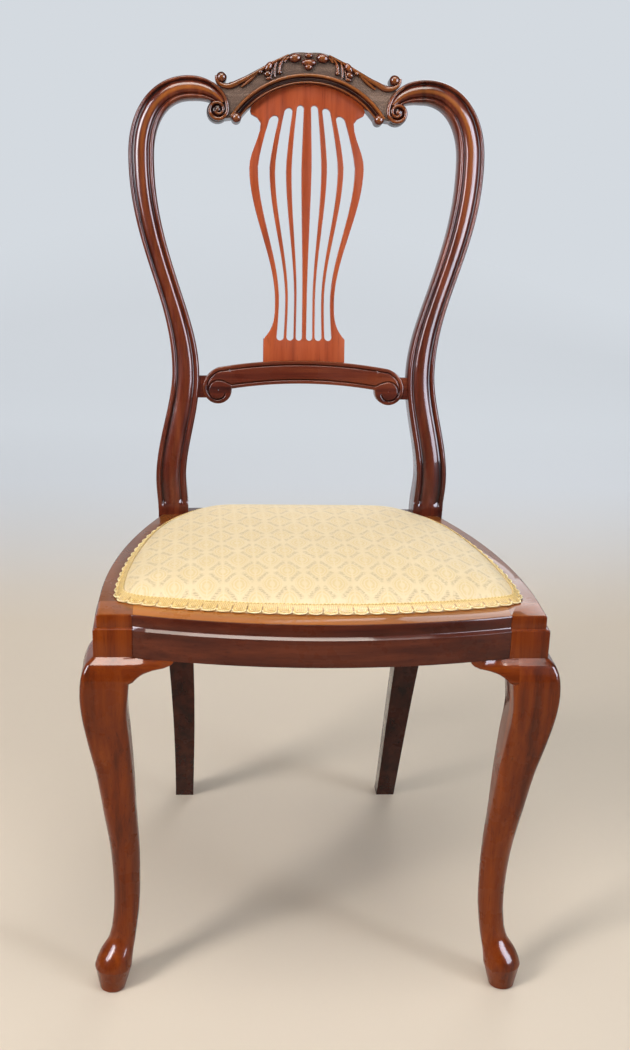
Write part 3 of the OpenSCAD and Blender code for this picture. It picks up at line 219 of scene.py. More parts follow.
@dataclass
class Shell:
    """A mesh in the making, on the drawing in millimetres."""

    verts: list[Array] = field(default_factory=list)
    faces: list[tuple[int, ...]] = field(default_factory=list)
    tone: list[Array] = field(default_factory=list)
    face_slots: list[int] = field(default_factory=list)
    count: int = 0

    def add(self, verts: Array, faces: Iterable[Sequence[int]], tone: Floats = 0.0,
            slot: int = 0) -> "Shell":
        """Adds a closed piece of surface and returns the shell.

        Args:
            verts: Its points.
            faces: Its faces, as indices into verts.
            tone: Per point, from -1 in a quirk to 1 on a ridge.
            slot: Index of the faces' material.

        Raises:
            ValueError: If a point has no place.
        """
        verts = np.asarray(verts, float).reshape(-1, 3)
        if not np.isfinite(verts).all():
            raise ValueError(f"{int((~np.isfinite(verts)).any(axis=1).sum())} points have no place")
        made = [tuple(int(i) + self.count for i in f) for f in faces]
        self.faces += made
        self.face_slots += [slot] * len(made)
        self.verts.append(verts)
        self.tone.append(np.broadcast_to(np.asarray(tone, float), (len(verts),)))
        self.count += len(verts)
        return self

    def sweep(self, rings: Sequence[Array], tone: Sequence[Array] | Floats = 0.0, slot: int = 0,
              loop: bool = False) -> "Shell":
        """Adds a solid through a list of closed rings and returns the shell.

        Args:
            rings: Rings by points by 3.
            tone: Per point of the rings, or one value.
            slot: Index of the faces' material.
            loop: Whether the last ring joins the first.
        """
        rings = np.asarray(rings, float)
        m, n = rings.shape[:2]
        faces = []
        for i in range(m if loop else m - 1):
            k = (i + 1) % m
            for j in range(n):
                e = (j + 1) % n
                faces.append((i * n + j, i * n + e, k * n + e, k * n + j))
        if not loop:
            faces.append(tuple(range(n - 1, -1, -1)))
            faces.append(tuple(range((m - 1) * n, m * n)))
        tone = np.broadcast_to(np.asarray(tone, float), (m, n)).reshape(-1)
        return self.add(rings.reshape(-1, 3), faces, tone, slot)

    def tube(self, path: Array, normal: Array, width: Floats, rise: float, tone: Floats,
             sides: int = 8) -> None:
        """Adds a flattened cord along a path.

        Args:
            path: Its middle line.
            normal: Its outward direction, one or one per point.
            width: Its half width, one value or one per point.
            rise: Its half thickness.
            tone: Its tone, one value or one per point.
            sides: Points round it.
        """
        normal = np.broadcast_to(normal, path.shape)
        side = unit(np.cross(unit(np.gradient(path, axis=0)), normal))
        a = circle(sides)
        width = np.broadcast_to(np.asarray(width, float), (len(path),))
        ring = path[:, None] + side[:, None] * (width[:, None] * np.cos(a))[..., None]
        ring = ring + normal[:, None] * (rise * np.sin(a))[None, :, None]
        tone = np.broadcast_to(np.asarray(tone, float), (len(path),))
        self.sweep(ring, tone[:, None] + 0 * a)

    def pair(self) -> tuple[tuple[str, "Shell"], ...]:
        """Returns the shell as the right piece and its mirror image as the left one."""
        return ("right", self), ("left", self.flipped())

    def mirrored(self) -> "Shell":
        """Adds the shell's mirror image across the chair's middle, and returns the shell."""
        image = self.flipped()
        self.add(join(image.verts), image.faces, join(image.tone))
        self.face_slots[-len(image.faces):] = image.face_slots
        return self

    def flipped(self) -> "Shell":
        """Returns only the mirror image across the chair's middle."""
        other = Shell().add(join(self.verts) * [-1, 1, 1], [f[::-1] for f in self.faces], join(self.tone))
        other.face_slots = list(self.face_slots)
        return other

    def build(self, name: str, finishes: Sequence[Material], smooth_angle: float = 38.0,
              loose: bool = False) -> Piece:
        """Makes the object, in metres. With loose it is a motif on its own origin, not in its place."""
        points = (join(self.verts) - [0, 0 if loose else PLAN.mid_y, 0]) * MM
        mesh = bpy.data.meshes.new(name)
        mesh.from_pydata(points.tolist(), [], self.faces)
        tone = mesh.attributes.new(TONE, "FLOAT", "POINT")
        tone.data.foreach_set("value", join(self.tone).astype(np.float32))
        for material in finishes:
            mesh.materials.append(material)
        mesh.polygons.foreach_set("material_index", self.face_slots)
        return finish_mesh(mesh, name, smooth_angle)


def link_new(name: str, data: bpy.types.ID) -> Piece:
    """Returns a new object in the scene."""
    obj = bpy.data.objects.new(name, data)
    bpy.context.scene.collection.objects.link(obj)
    return obj


def finish_mesh(mesh: Mesh, name: str, smooth_angle: float = 38.0) -> Piece:
    """Turns a mesh's faces outwards, keeps edges over smooth_angle degrees crisp and returns its object."""
    work = bmesh.new()
    work.from_mesh(mesh)
    bmesh.ops.recalc_face_normals(work, faces=work.faces)
    limit = math.radians(smooth_angle)
    for edge in work.edges:
        edge.smooth = len(edge.link_faces) == 2 and edge.calc_face_angle(0.0) < limit
    for face in work.faces:
        face.smooth = True
    work.to_mesh(mesh)
    work.free()
    return link_new(name, mesh)


def plain_copy(obj: Piece) -> Mesh:
    """Returns the mesh that obj's live modifiers make."""
    bpy.context.view_layer.update()
    return bpy.data.meshes.new_from_object(obj.evaluated_get(bpy.context.evaluated_depsgraph_get()))


def spent(obj: Piece) -> Mesh:
    """Returns the mesh that obj's live modifiers make, and removes obj."""
    mesh = plain_copy(obj)
    bpy.data.objects.remove(obj)
    return mesh


def lay_cloth(mesh: Mesh, places: Array) -> None:
    """Gives a mesh its cloth coordinates, in metres, from one place per point."""
    index = np.empty(len(mesh.loops), np.int32)
    mesh.loops.foreach_get("vertex_index", index)
    uv = mesh.uv_layers.new(name=CLOTH)
    uv.data.foreach_set("uv", places[index].reshape(-1).astype(np.float32))


def move_points(mesh: Mesh, places: Array) -> None:
    """Moves a mesh's points to new places, in metres."""
    mesh.vertices.foreach_set("co", places.reshape(-1).astype(np.float32))


def top_wear_and_highlight(mesh: Mesh, amount: float) -> None:
    """Gives the points at the seat frame's top a lighter tone: rubbed wear and a painted highlight of the
    light from above.
    """
    tone = mesh.attributes.get(TONE) or mesh.attributes.new(TONE, "FLOAT", "POINT")
    for point, value in zip(mesh.vertices, tone.data):
        if point.co.z > (PLAN.seat_top - 0.2) * MM:
            value.value = amount


def register(obj: Piece, slot: str, *nodes: str) -> Piece:
    """Fixes a finished piece to the chair and hides the nodes that it replaces."""
    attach(obj, BODY)
    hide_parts(*nodes)
    LOG.info("%s: %d faces", obj.name, len(obj.data.polygons))
    return obj


@dataclass
class Nodes:
    """Short way to write a material's or a modifier's node tree."""

    tree: bpy.types.NodeTree

    def fill(self, node: Node, inputs: dict) -> None:
        """Gives a node's inputs, by name or index, their values or links them to sockets."""
        for key, value in inputs.items():
            if isinstance(value, Socket):
                self.tree.links.new(value, node.inputs[key])
            else:
                node.inputs[key].default_value = value

    def add(self, kind: str, inputs: dict | None = None, **settings: object) -> Node:
        """Adds a node of a kind, with inputs by name or index, and with its properties."""
        node = self.tree.nodes.new(kind)
        for key, value in settings.items():
            setattr(node, key, value)
        self.fill(node, inputs or {})
        return node

    def math(self, operation: str, *values: object, clamp: bool = False) -> Socket:
        """Returns the result of one sum on sockets or numbers."""
        node = self.add("ShaderNodeMath", dict(enumerate(values)), operation=operation, use_clamp=clamp)
        return node.outputs[0]

    def times(self, a: object, b: object, clamp: bool = False) -> Socket:
        """Returns a times b."""
        return self.math("MULTIPLY", a, b, clamp=clamp)

    def times_plus(self, a: object, b: object, c: object, clamp: bool = False) -> Socket:
        """Returns a times b, plus c."""
        return self.math("MULTIPLY_ADD", a, b, c, clamp=clamp)

    def wave(self, at: Socket, length: float) -> Socket:
        """Returns a sine wave of a given length."""
        return self.math("SINE", self.times(at, 2 * math.pi / length))

    def share(self, value: Socket) -> Socket:
        """Returns a value between -1 and 1 as a share from 0 to 1."""
        return self.times_plus(value, 0.5, 0.5)

    def place(self) -> Socket:
        """Returns the place on the object."""
        return self.add("ShaderNodeTexCoord").outputs["Object"]

    def cloth(self) -> Socket:
        """Returns the place on the cloth."""
        return self.add("ShaderNodeUVMap", uv_map=CLOTH).outputs[0]

    def axes(self, place: Socket) -> bpy.types.NodeOutputs:
        """Returns a place's X, Y and Z."""
        return self.add("ShaderNodeSeparateXYZ", {0: place}).outputs

    def mapped(self, place: Socket, **change: object) -> Socket:
        """Returns coordinates after a change of Rotation or Scale."""
        return self.add("ShaderNodeMapping", {"Vector": place, **change}).outputs[0]

    def vector(self, operation: str, inputs: dict) -> Socket:
        """Returns the result of one sum on vectors."""
        return self.add("ShaderNodeVectorMath", inputs, operation=operation).outputs[0]

    def tone(self) -> Socket:
        """Returns the point's tone."""
        return self.add("ShaderNodeAttribute", attribute_name=TONE).outputs["Fac"]

    def noise(self, vector: Socket, scale: float, detail: float = 3, rough: float = 0.5) -> Socket:
        """Returns a noise value at vector."""
        inputs = {"Vector": vector, "Scale": scale, "Detail": detail, "Roughness": rough}
        return self.add("ShaderNodeTexNoise", inputs).outputs["Fac"]

    def ramp(self, factor: Socket, stops: Sequence[tuple]) -> Socket:
        """Returns the colour of a ramp, whose stops are positions with a colour or a grey."""
        node = self.add("ShaderNodeValToRGB", {0: factor})
        marks = node.color_ramp.elements
        while len(marks) < len(stops):
            marks.new(0.5)
        for mark, (place, colour) in zip(marks, stops):
            rgb = colour if isinstance(colour, tuple) else (colour,) * 3
            mark.position = place
            mark.color = (*rgb, 1)
        return node.outputs["Color"]

    def blend(self, factor: Socket, a: Socket | Triple, b: Triple) -> Socket:
        """Returns two colours mixed by factor."""
        node = self.add("ShaderNodeMix", data_type="RGBA")
        first = a if isinstance(a, Socket) else (*a, 1)
        self.fill(node, {0: factor, 6: first, 7: (*b, 1)})
        return node.outputs[2]

    def bump(self, height: Socket, distance: float, strength: float = 1.0,
             normal: Socket | None = None) -> Socket:
        """Returns a normal bumped by height."""
        inputs = {"Height": height, "Distance": distance, "Strength": strength}
        if normal is not None:
            inputs["Normal"] = normal
        return self.add("ShaderNodeBump", inputs).outputs[0]


class Repeater:
    """Geometry nodes that set a motif at every point of a host mesh."""

    def __init__(self) -> None:
        """Builds the tree, with its named inputs."""
        self.tree = bpy.data.node_groups.new("motif_repeater", "GeometryNodeTree")
        face = self.tree.interface
        face.new_socket("Points", in_out="INPUT", socket_type="NodeSocketGeometry")
        kinds = {"Motif": "Object", "Unevenness": "Float", "Seed": "Int", "Finish": "Material"}
        for name, kind in kinds.items():
            face.new_socket(name, in_out="INPUT", socket_type=f"NodeSocket{kind}")
        face.new_socket("Pieces", in_out="OUTPUT", socket_type="NodeSocketGeometry")
        nodes = Nodes(self.tree)
        start = nodes.add("NodeGroupInput").outputs
        motif = nodes.add("GeometryNodeObjectInfo", {"Object": start["Motif"]}).outputs["Geometry"]
        turn = nodes.add("GeometryNodeInputNamedAttribute", {"Name": "turn"}, data_type="FLOAT_VECTOR")
        turn = nodes.add("FunctionNodeEulerToRotation", {0: turn.outputs[0]}).outputs[0]
        low = nodes.math("SUBTRACT", 1.0, start["Unevenness"])
        high = nodes.math("ADD", 1.0, start["Unevenness"])
        inputs = {2: low, 3: high, "Seed": start["Seed"]}
        size = nodes.add("FunctionNodeRandomValue", inputs, data_type="FLOAT").outputs[1]
        points = nodes.add("GeometryNodeMeshToPoints", {0: start["Points"]}).outputs[0]
        inputs = {"Points": points, "Instance": motif, "Rotation": turn, "Scale": size}
        placed = nodes.add("GeometryNodeInstanceOnPoints", inputs).outputs[0]
        real = nodes.add("GeometryNodeRealizeInstances", {0: placed}).outputs[0]
        dressed = nodes.add("GeometryNodeSetMaterial", {"Geometry": real, "Material": start["Finish"]})
        nodes.add("NodeGroupOutput", {0: dressed.outputs[0]})

    def run(self, motif: Piece, points: Array, turns: Array, finish: Material,
            uneven: float = 0.0, seed: int = 1) -> Mesh:
        """Repeats the motif, and removes it.

        Args:
            motif: The loose motif.
            points: Places in metres.
            turns: Turns about X, Y and Z at each place, in radians.
            finish: The material of the result.
            uneven: How much the sizes vary, as a share.
            seed: Seed of that variation.

        Returns:
            One plain mesh of all the pieces.
        """
        mesh = bpy.data.meshes.new("host")
        mesh.from_pydata(np.asarray(points).tolist(), [], [])
        turn = mesh.attributes.new("turn", "FLOAT_VECTOR", "POINT")
        turn.data.foreach_set("vector", np.asarray(turns, np.float32).reshape(-1))
        host = link_new("host", mesh)
        tool = host.modifiers.new("repeat", "NODES")
        tool.node_group = self.tree
        values = {"Motif": motif, "Unevenness": float(uneven), "Seed": seed, "Finish": finish}
        for item in self.tree.interface.items_tree:
            if item.in_out == "INPUT" and item.name in values:
                tool[item.identifier] = values[item.name]
        made = spent(host)
        bpy.data.objects.remove(motif)
        return made


def new_material(name: str, preview: Sequence[float]) -> tuple[Material, Nodes, Node]:
    """Makes an empty material and returns it with its nodes and its surface shader."""
    material = bpy.data.materials.new(name)
    material.use_nodes = True
    material.diffuse_color = (*preview, 1)
    return material, Nodes(material.node_tree), material.node_tree.nodes["Principled BSDF"]


@dataclass(frozen=True)
class PolishedWood:
    """Mahogany under French polish: straight grain with short dark pores, a golden colour on the ridges as
    rubbed wear and painted highlight, and painted shade with some dirt in the quirks.
    """

    name: str
    dark: Triple
    mid: Triple
    light: Triple
    grain: Grain
    roughness: float = 0.3
    coat: float = 0.6
    stipple: float = 0.0
    # Golden colour of ridges and tops: rubbed wear and painted highlight.
    wear_and_highlight: Triple = (0.5, 0.17, 0.03)
    pore_depth: float = 0.00004
    wobble_depth: float = 0.00035

    def turned(self, nodes: Nodes) -> Socket:
        """Returns coordinates whose Z runs along the grain."""
        quarter = math.pi / 2
        angle = {Grain.ACROSS: (0, quarter, 0), Grain.DEEP: (quarter, 0, 0), Grain.UP: (0, 0, 0),
                 Grain.LEANING: (math.radians(PLAN.lean_top), 0, 0)}[self.grain]
        return nodes.mapped(nodes.place(), Rotation=angle)

    def make(self) -> Material:
        """Returns the finished material."""
        material, nodes, shader = new_material(self.name, self.mid)
        place = self.turned(nodes)

        def drawn(along: float, scale: float, detail: float, rough: float = 0.5) -> Socket:
            """Returns noise drawn out along the grain."""
            return nodes.noise(nodes.mapped(place, Scale=(1, 1, along)), scale, detail, rough)

        streaks, cloud, bands = drawn(0.035, 95, 6, 0.62), drawn(0.25, 13, 3), drawn(0.02, 38, 2)
        figure = nodes.times_plus(bands, 0.22, nodes.times_plus(cloud, 0.28, nodes.times(streaks, 0.5)))
        colour = nodes.ramp(figure, [(0.37, self.dark), (0.5, self.mid), (0.66, self.light)])
        pits = nodes.ramp(drawn(0.045, 900, 2), [(0.28, 0.0), (0.4, 1.0)])
        colour = nodes.blend(nodes.times_plus(pits, -0.4, 0.4), colour, tuple(0.35 * c for c in self.dark))
        tone = nodes.tone()
        # Negative tone mixes towards near-black: painted shade in quirks and recesses, with some dirt, and
        # the painted shadow on the rear legs.
        shade_and_dirt = nodes.times(nodes.times(tone, -1.0, clamp=True), 0.8)
        colour = nodes.blend(shade_and_dirt, colour, tuple(0.16 * c for c in self.dark))
        # Positive tone, broken by the cloud, mixes in the golden colour: rubbed wear and painted highlight.
        colour = nodes.blend(nodes.times(nodes.times(tone, cloud), 0.8, clamp=True), colour, self.wear_and_highlight)
        normal = nodes.bump(pits, self.pore_depth, 0.5)
        if self.stipple:
            cells = nodes.add("ShaderNodeTexVoronoi", {"Vector": place, "Scale": 560.0}).outputs["Distance"]
            normal = nodes.bump(cells, self.stipple, 1.0, normal)
            colour = nodes.blend(nodes.ramp(cells, [(0.1, 0.55), (0.5, 0.0)]), colour, self.dark)
        nodes.fill(shader, {"Roughness": self.roughness, "Specular IOR Level": 0.06, "Coat Weight": self.coat,
                            "Coat Roughness": 0.06, "Coat IOR": 1.4})
        smear = [(0.35, self.roughness * 0.72), (0.68, self.roughness * 1.35)]
        rough = nodes.ramp(nodes.noise(place, 28, 4, 0.6), smear)
        wobble = nodes.bump(nodes.noise(place, 55, 2, 0.5), self.wobble_depth, 0.25)
        nodes.fill(shader, {"Base Color": colour, "Roughness": rough})
        nodes.fill(shader, {"Normal": normal, "Coat Normal": wobble})
        return material


@dataclass(frozen=True)
class RawWood:
    """Unpolished wood of the hidden pieces, with its saw marks."""

    name: str
    dark: Triple
    light: Triple
    saw: float = 0.0001

    def make(self) -> Material:
        """Returns the finished material."""
        material, nodes, shader = new_material(self.name, self.light)
        place = nodes.place()
        grain = nodes.noise(nodes.mapped(place, Scale=(0.08, 1, 1)), 260, 5, 0.6)
        stain_and_shade = nodes.noise(place, 24, 4, 0.6)
        colour = nodes.ramp(nodes.times_plus(stain_and_shade, 0.5, nodes.times(grain, 0.5)),
                            [(0.36, self.dark), (0.62, self.light)])
        nodes.fill(shader, {"Base Color": colour, "Roughness": 0.78, "Normal": nodes.bump(grain, self.saw)})
        return material


@dataclass(frozen=True)
class Woven:
    """Plain woven cloth with flecks: webbing, hessian and wadding."""

    name: str
    dark: Triple
    light: Triple
    pitch: float
    depth: float
    stripe: Triple = (0.2, 0.07, 0.05)

    def make(self) -> Material:
        """Returns the finished material."""
        material, nodes, shader = new_material(self.name, self.light)
        place = nodes.place()
        axes = nodes.axes(place)
        over = nodes.share(nodes.times(nodes.wave(axes[0], self.pitch), nodes.wave(axes[1], self.pitch)))
        slub = nodes.noise(place, 160, 5, 0.65)
        shade = nodes.times_plus(over, 0.45, nodes.times(slub, 0.55))
        colour = nodes.ramp(shade, [(0.2, self.dark), (0.7, self.light)])
        line = nodes.times(nodes.times(nodes.tone(), -1.0, clamp=True), 0.75)
        nodes.fill(shader, {"Base Color": nodes.blend(line, colour, self.stripe), "Roughness": 0.95,
                            "Sheen Weight": 0.3, "Normal": nodes.bump(shade, self.depth)})
        return material


@dataclass(frozen=True)
class TrellisDamask:
    """Cream damask: ovals in broken taupe thread, fine golden lines in them, over a ribbed weave."""

    name: str = "cream_damask"
    ground: Triple = (0.75, 0.6, 0.345)
    shade: Triple = (0.66, 0.5, 0.25)
    figure: Triple = (0.4, 0.28, 0.13)
    gold: Triple = (0.64, 0.45, 0.15)
    repeat: Pair = (0.0333, 0.048)
    pick: float = 0.0024
    rib: float = 0.0009
    swell: float = 0.22
    rings: float = 12.0

    def pattern(self, nodes: Nodes, place: Socket) -> tuple[Socket, Socket]:
        """Returns how much of the ovals' broken thread and of the golden rings shows at a place."""
        wander = nodes.add("ShaderNodeTexNoise", {"Vector": place, "Scale": 420.0, "Detail": 1.0})
        drift = nodes.vector("SUBTRACT", {0: wander.outputs["Color"], 1: (0.5, 0.5, 0.5)})
        drift = nodes.vector("SCALE", {0: drift, 3: self.pick})
        axes = nodes.axes(nodes.vector("ADD", {0: place, 1: drift}))
        wide = nodes.times(axes[0], 2 * math.pi / self.repeat[0])
        high = nodes.times(axes[1], 2 * math.pi / self.repeat[1])
        field = nodes.math("ADD", nodes.math("COSINE", wide), nodes.math("COSINE", high))
        ring = nodes.math("ABSOLUTE", nodes.math("SUBTRACT", field, self.swell))
        ring = nodes.ramp(ring, [(0.24, 1.0), (0.56, 0.0)])
        gap = nodes.math("ABSOLUTE", nodes.times(nodes.math("SINE", wide), nodes.math("SINE", high)))
        ring = nodes.times(ring, nodes.ramp(gap, [(0.12, 0.0), (0.42, 1.0)]))
        picks = nodes.share(nodes.wave(axes[1], self.pick))
        broken = nodes.times(nodes.ramp(nodes.noise(place, 430, 2, 0.5), [(0.36, 0.1), (0.54, 1.0)]),
                             nodes.ramp(picks, [(0.1, 0.35), (0.6, 1.0)]))
        motif = nodes.times(ring, broken)
        oval = nodes.math("ABSOLUTE", field)
        rings = nodes.share(nodes.math("SINE", nodes.times(oval, self.rings)))
        sides = nodes.ramp(nodes.math("ABSOLUTE", nodes.math("SINE", wide)), [(0.06, 0.0), (0.24, 1.0)])
        return motif, nodes.times(nodes.times(rings, sides), nodes.ramp(oval, [(0.6, 0.0), (0.8, 1.0)]))

    def make(self) -> Material:
        """Returns the finished material."""
        material, nodes, shader = new_material(self.name, self.ground)
        place = nodes.cloth()
        motif, core = self.pattern(nodes, place)
        flat = nodes.axes(place)
        weave = nodes.share(nodes.times(nodes.wave(flat[0], self.rib), nodes.wave(flat[1], self.rib * 1.3)))
        cloud = nodes.noise(place, 36, 4, 0.6)
        colour = nodes.blend(nodes.ramp(cloud, [(0.4, 0.0), (0.65, 0.4)]), self.ground, self.shade)
        colour = nodes.blend(nodes.times(weave, 0.25), colour, self.shade)
        colour = nodes.blend(nodes.times(core, 0.5), colour, self.gold)
        colour = nodes.blend(nodes.times(motif, 0.66), colour, self.figure)
        height = nodes.times_plus(motif, -0.8, nodes.times_plus(weave, 0.45, nodes.times(core, 0.5)))
        nodes.fill(shader, {"Base Color": colour, "Roughness": 0.7, "Sheen Weight": 0.2,
                            "Sheen Roughness": 0.45, "Normal": nodes.bump(height, 0.00028, 0.9)})
        return material


@dataclass(frozen=True)
class SilkCord:
    """Bright yellow gimp: fine twisted threads with a silky sheen."""

    name: str = "gold_gimp"
    dark: Triple = (0.36, 0.18, 0.02)
    mid: Triple = (0.78, 0.53, 0.12)
    light: Triple = (0.9, 0.74, 0.36)
    thread: float = 0.0009

    def make(self) -> Material:
        """Returns the finished material."""
        material, nodes, shader = new_material(self.name, self.light)
        axes = nodes.axes(nodes.cloth())
        thread = nodes.share(nodes.wave(nodes.times_plus(axes[1], 0.6, axes[0]), self.thread))
        tone = nodes.tone()
        slub = nodes.noise(nodes.place(), 380, 3, 0.6)
        shade = nodes.times_plus(tone, 0.45, nodes.times_plus(slub, 0.3, nodes.times(thread, 0.3)))
        colour = nodes.ramp(shade, [(0.0, self.dark), (0.34, self.mid), (0.75, self.light)])
        nodes.fill(shader, {"Base Color": colour, "Roughness": 0.42, "Sheen Weight": 0.3,
                            "Normal": nodes.bump(thread, 0.00018, 0.8)})
        return material


@dataclass(frozen=True)
class AgedSteel:
    """Dull steel of the screws."""

    name: str = "aged_steel"
    dark: Triple = (0.16, 0.14, 0.12)
    light: Triple = (0.46, 0.44, 0.41)

    def make(self) -> Material:
        """Returns the finished material."""
        material, nodes, shader = new_material(self.name, self.light)
        colour = nodes.ramp(nodes.noise(nodes.place(), 700, 4, 0.65), [(0.35, self.dark), (0.6, self.light)])
        nodes.fill(shader, {"Base Color": colour, "Metallic": 0.9, "Roughness": 0.42})
        return material


class Finishes:
    """The chair's finishes, each made once."""

    def __init__(self) -> None:
        """Makes the materials."""
        post = ((0.03, 0.005, 0.003), (0.1, 0.017, 0.007), (0.21, 0.048, 0.017))
        leg = ((0.05, 0.008, 0.001), (0.145, 0.022, 0.001), (0.24, 0.046, 0.003))
        rail = ((0.028, 0.005, 0.002), (0.072, 0.012, 0.004), (0.135, 0.027, 0.009))
        # The splat is much lighter than the posts: painted reflected light on the panel.
        lit_panel = ((0.18, 0.028, 0.008), (0.33, 0.06, 0.017), (0.44, 0.095, 0.027))
        ground = ((0.1, 0.06, 0.042), (0.2, 0.13, 0.095), (0.32, 0.22, 0.165))
        self.post = PolishedWood("post_mahogany", *post, Grain.LEANING).make()
        self.crest = PolishedWood("crest_mahogany", *post, Grain.ACROSS).make()
        self.ground = PolishedWood("carved_ground", *ground, Grain.ACROSS, 0.5, 0.25, 0.0005).make()
        self.splat = PolishedWood("splat_mahogany", *lit_panel, Grain.LEANING, 0.42, 0.45).make()
        self.mid = PolishedWood("mid_rail_mahogany", *post, Grain.ACROSS).make()
        self.rail_across = PolishedWood("front_rail_mahogany", *rail, Grain.ACROSS).make()
        self.rail_deep = PolishedWood("side_rail_mahogany", *rail, Grain.DEEP).make()
        self.leg = PolishedWood("leg_mahogany", *leg, Grain.UP).make()
        self.bracket = PolishedWood("bracket_mahogany", *leg, Grain.ACROSS).make()
        self.bracket_deep = PolishedWood("side_bracket_mahogany", *leg, Grain.DEEP).make()
        self.brace = RawWood("brace_wood", (0.3, 0.19, 0.1), (0.56, 0.41, 0.25)).make()
        self.dowel = RawWood("dowel_wood", (0.5, 0.36, 0.2), (0.74, 0.58, 0.38), 0.00004).make()
        self.webbing = Woven("jute_webbing", (0.3, 0.22, 0.12), (0.6, 0.48, 0.3), 0.0032, 0.0004).make()
        self.hessian = Woven("hessian", (0.33, 0.25, 0.14), (0.62, 0.5, 0.33), 0.0042, 0.0006).make()
        self.wadding = Woven("wadding", (0.66, 0.6, 0.48), (0.86, 0.82, 0.72), 0.011, 0.0012).make()
        self.damask = TrellisDamask().make()
        self.gimp = SilkCord().make()
        self.steel = AgedSteel().make()


@dataclass
class Upright:
    """A back post: rear leg, moulded upright and the start of the balloon's shoulder."""

    base_x: float = 151
    bulge: Pair = (154, 46)
    waist: Pair = (137.5, 165)
    shoulder: Pair = (190, 417)
    crown: Pair = (134.5, 491)
    widths: tuple[float, ...] = (35, 35, 31.5, 25.5, 29, 25)
    slim_share: float = 0.42
    base_t: float = 36
    post_t: float = 27
    thin_v: float = 130
    mould_d: float = 3.2
    stop: Pair = (9, 9)
    handles: tuple[float, float, float, float] = (0.33, 0.32, 0.42, 0.6)
    joint_share: float = 0.15
    rear_foot_x: float = 136.5
    rear_foot_w: float = 23.5
    round_r: float = 2.5
    # How much golden ridge colour shows along the post, most on the upper arcs: painted highlight of the
    # light from above, with rubbed wear.
    golden: Rows = ((0, 0.05), (1, 0.15), (2, 0.12), (2.75, 0.2), (3.1, 0.9), (3.4, 1.3), (4, 1.3))
    mould_shares: Rows = ((0, 0.85), (0.03, 0.3), (0.08, 0.08), (0.135, 0.35), (0.17, 1), (0.23, 0.9),
                          (0.31, 0.42), (0.43, 0.08), (0.56, 0.02), (0.69, 0.3), (0.785, 0.95),
                          (0.825, 0.6), (0.875, 0.12), (0.95, 0.25), (1, 0.85))
    quirk_from: float = 0.55
    ridge_to: float = 0.12
    ridge_tone: float = 0.8
    # The rear legs darken downwards below the rail: painted shadow under the seat, with some dirt.
    stain_and_shade: float = 0.8
    leg_shade_len: float = 120

    def path(self, q: Floats) -> Array:
        """Returns the middle of the moulding at q: 0 seat, 1 bulge, 2 waist, 3 shoulder and 4 crown."""
        q = np.asarray(q, float)
        waist, low, high, quarter = self.handles
        stops = [(self.base_x, 0.0), self.bulge, self.waist, self.shoulder]
        grips = [(waist, waist), (waist, waist), (low, high)]
        out = np.zeros((*q.shape, 2))
        for i, (first, last) in enumerate(grips):
            a, b = np.array(stops[i], float), np.array(stops[i + 1], float)
            rise = b[1] - a[1]
            part = bezier([a, a + [0, rise * first], b - [0, rise * last], b], np.clip(q - i, 0, 1))
            out = np.where(((q >= i) & (q <= i + 1))[..., None], part, out)
        (sx, sv), (cx, cv) = self.shoulder, self.crown
        hold = [(sx, sv), (sx, mix(sv, cv, quarter)), (mix(cx, sx, quarter), cv), (cx, cv)]
        return np.where((q > 3)[..., None], bezier(hold, np.clip(q - 3, 0, 1)), out)

    def across(self, q: Array) -> Array:
        """Returns the outward direction across the moulding at q."""
        run = self.path(np.minimum(q + 1e-3, 4)) - self.path(np.maximum(q - 1e-3, 0))
        return beside(unit(run))

    def width(self, q: Array) -> Array:
        """Returns the moulding's width at q."""
        places = (0, 1, 2, 2 + self.slim_share, 3, 4)
        return curve(tuple(zip(places, self.widths)), q)

    def shares(self) -> Array:
        """Returns the places across the front moulding that carry a point."""
        extra = [0.01, 0.16, 0.17, 0.18, 0.77, 0.785, 0.99]
        return np.unique(np.round(join([span(0, 1, 41), extra]), 4))

    def section(self, amount: Array, depth: Array, width: Array) -> tuple[Array, ...]:
        """Draws the moulding's closed outline.

        Args:
            amount: How much of the relief there is, per ring.
            depth: Depth front to back, per ring.
            width: Width, per ring.

        Returns:
            Shares across, depths and tones, ring by ring.
        """
        s = self.shares()
        relief = curve(self.mould_shares, s)
        front = relief[None, :] * self.mould_d * amount[:, None]
        # Ridge tops get a lighter tone, rubbed wear and painted highlight; deep quirks a darker one, painted
        # shade.
        ridge = np.clip(1 - relief / self.ridge_to, 0, 1) * self.ridge_tone
        quirk = (self.quirk_from - relief) / (1 - self.quirk_from)
        tone = np.where(relief > self.quirk_from, quirk, ridge)
        tone = np.where((s < 0.02) | (s > 0.98), 0, tone)[None, :] * amount[:, None]
        turn = angles(0, 90, 5)
        r = self.round_r / width[:, None]
        over = r * np.cos(turn)
        back = depth[:, None] - self.round_r * (1 - np.sin(turn))
        share = join([np.broadcast_to(s, front.shape), 1 - r + over, (r - over)[:, ::-1]], axis=1)
        behind = join([front, back, back[:, ::-1]], axis=1)
        return share, behind, join([tone, np.zeros((len(width), 2 * len(turn)))], axis=1)

    def band(self, outer: Array, inner: Array, amount: Array, depth: Array) -> tuple[Array, Array]:
        """Returns the moulding's rings and tones between its edges [x, v] on the back's face."""
        width = np.linalg.norm(outer - inner, axis=1)
        share, behind, tone = self.section(amount, depth, width)
        flat = outer[:, None] * (1 - share[..., None]) + inner[:, None] * share[..., None]
        return PLAN.at(flat[..., 0], flat[..., 1], behind), tone

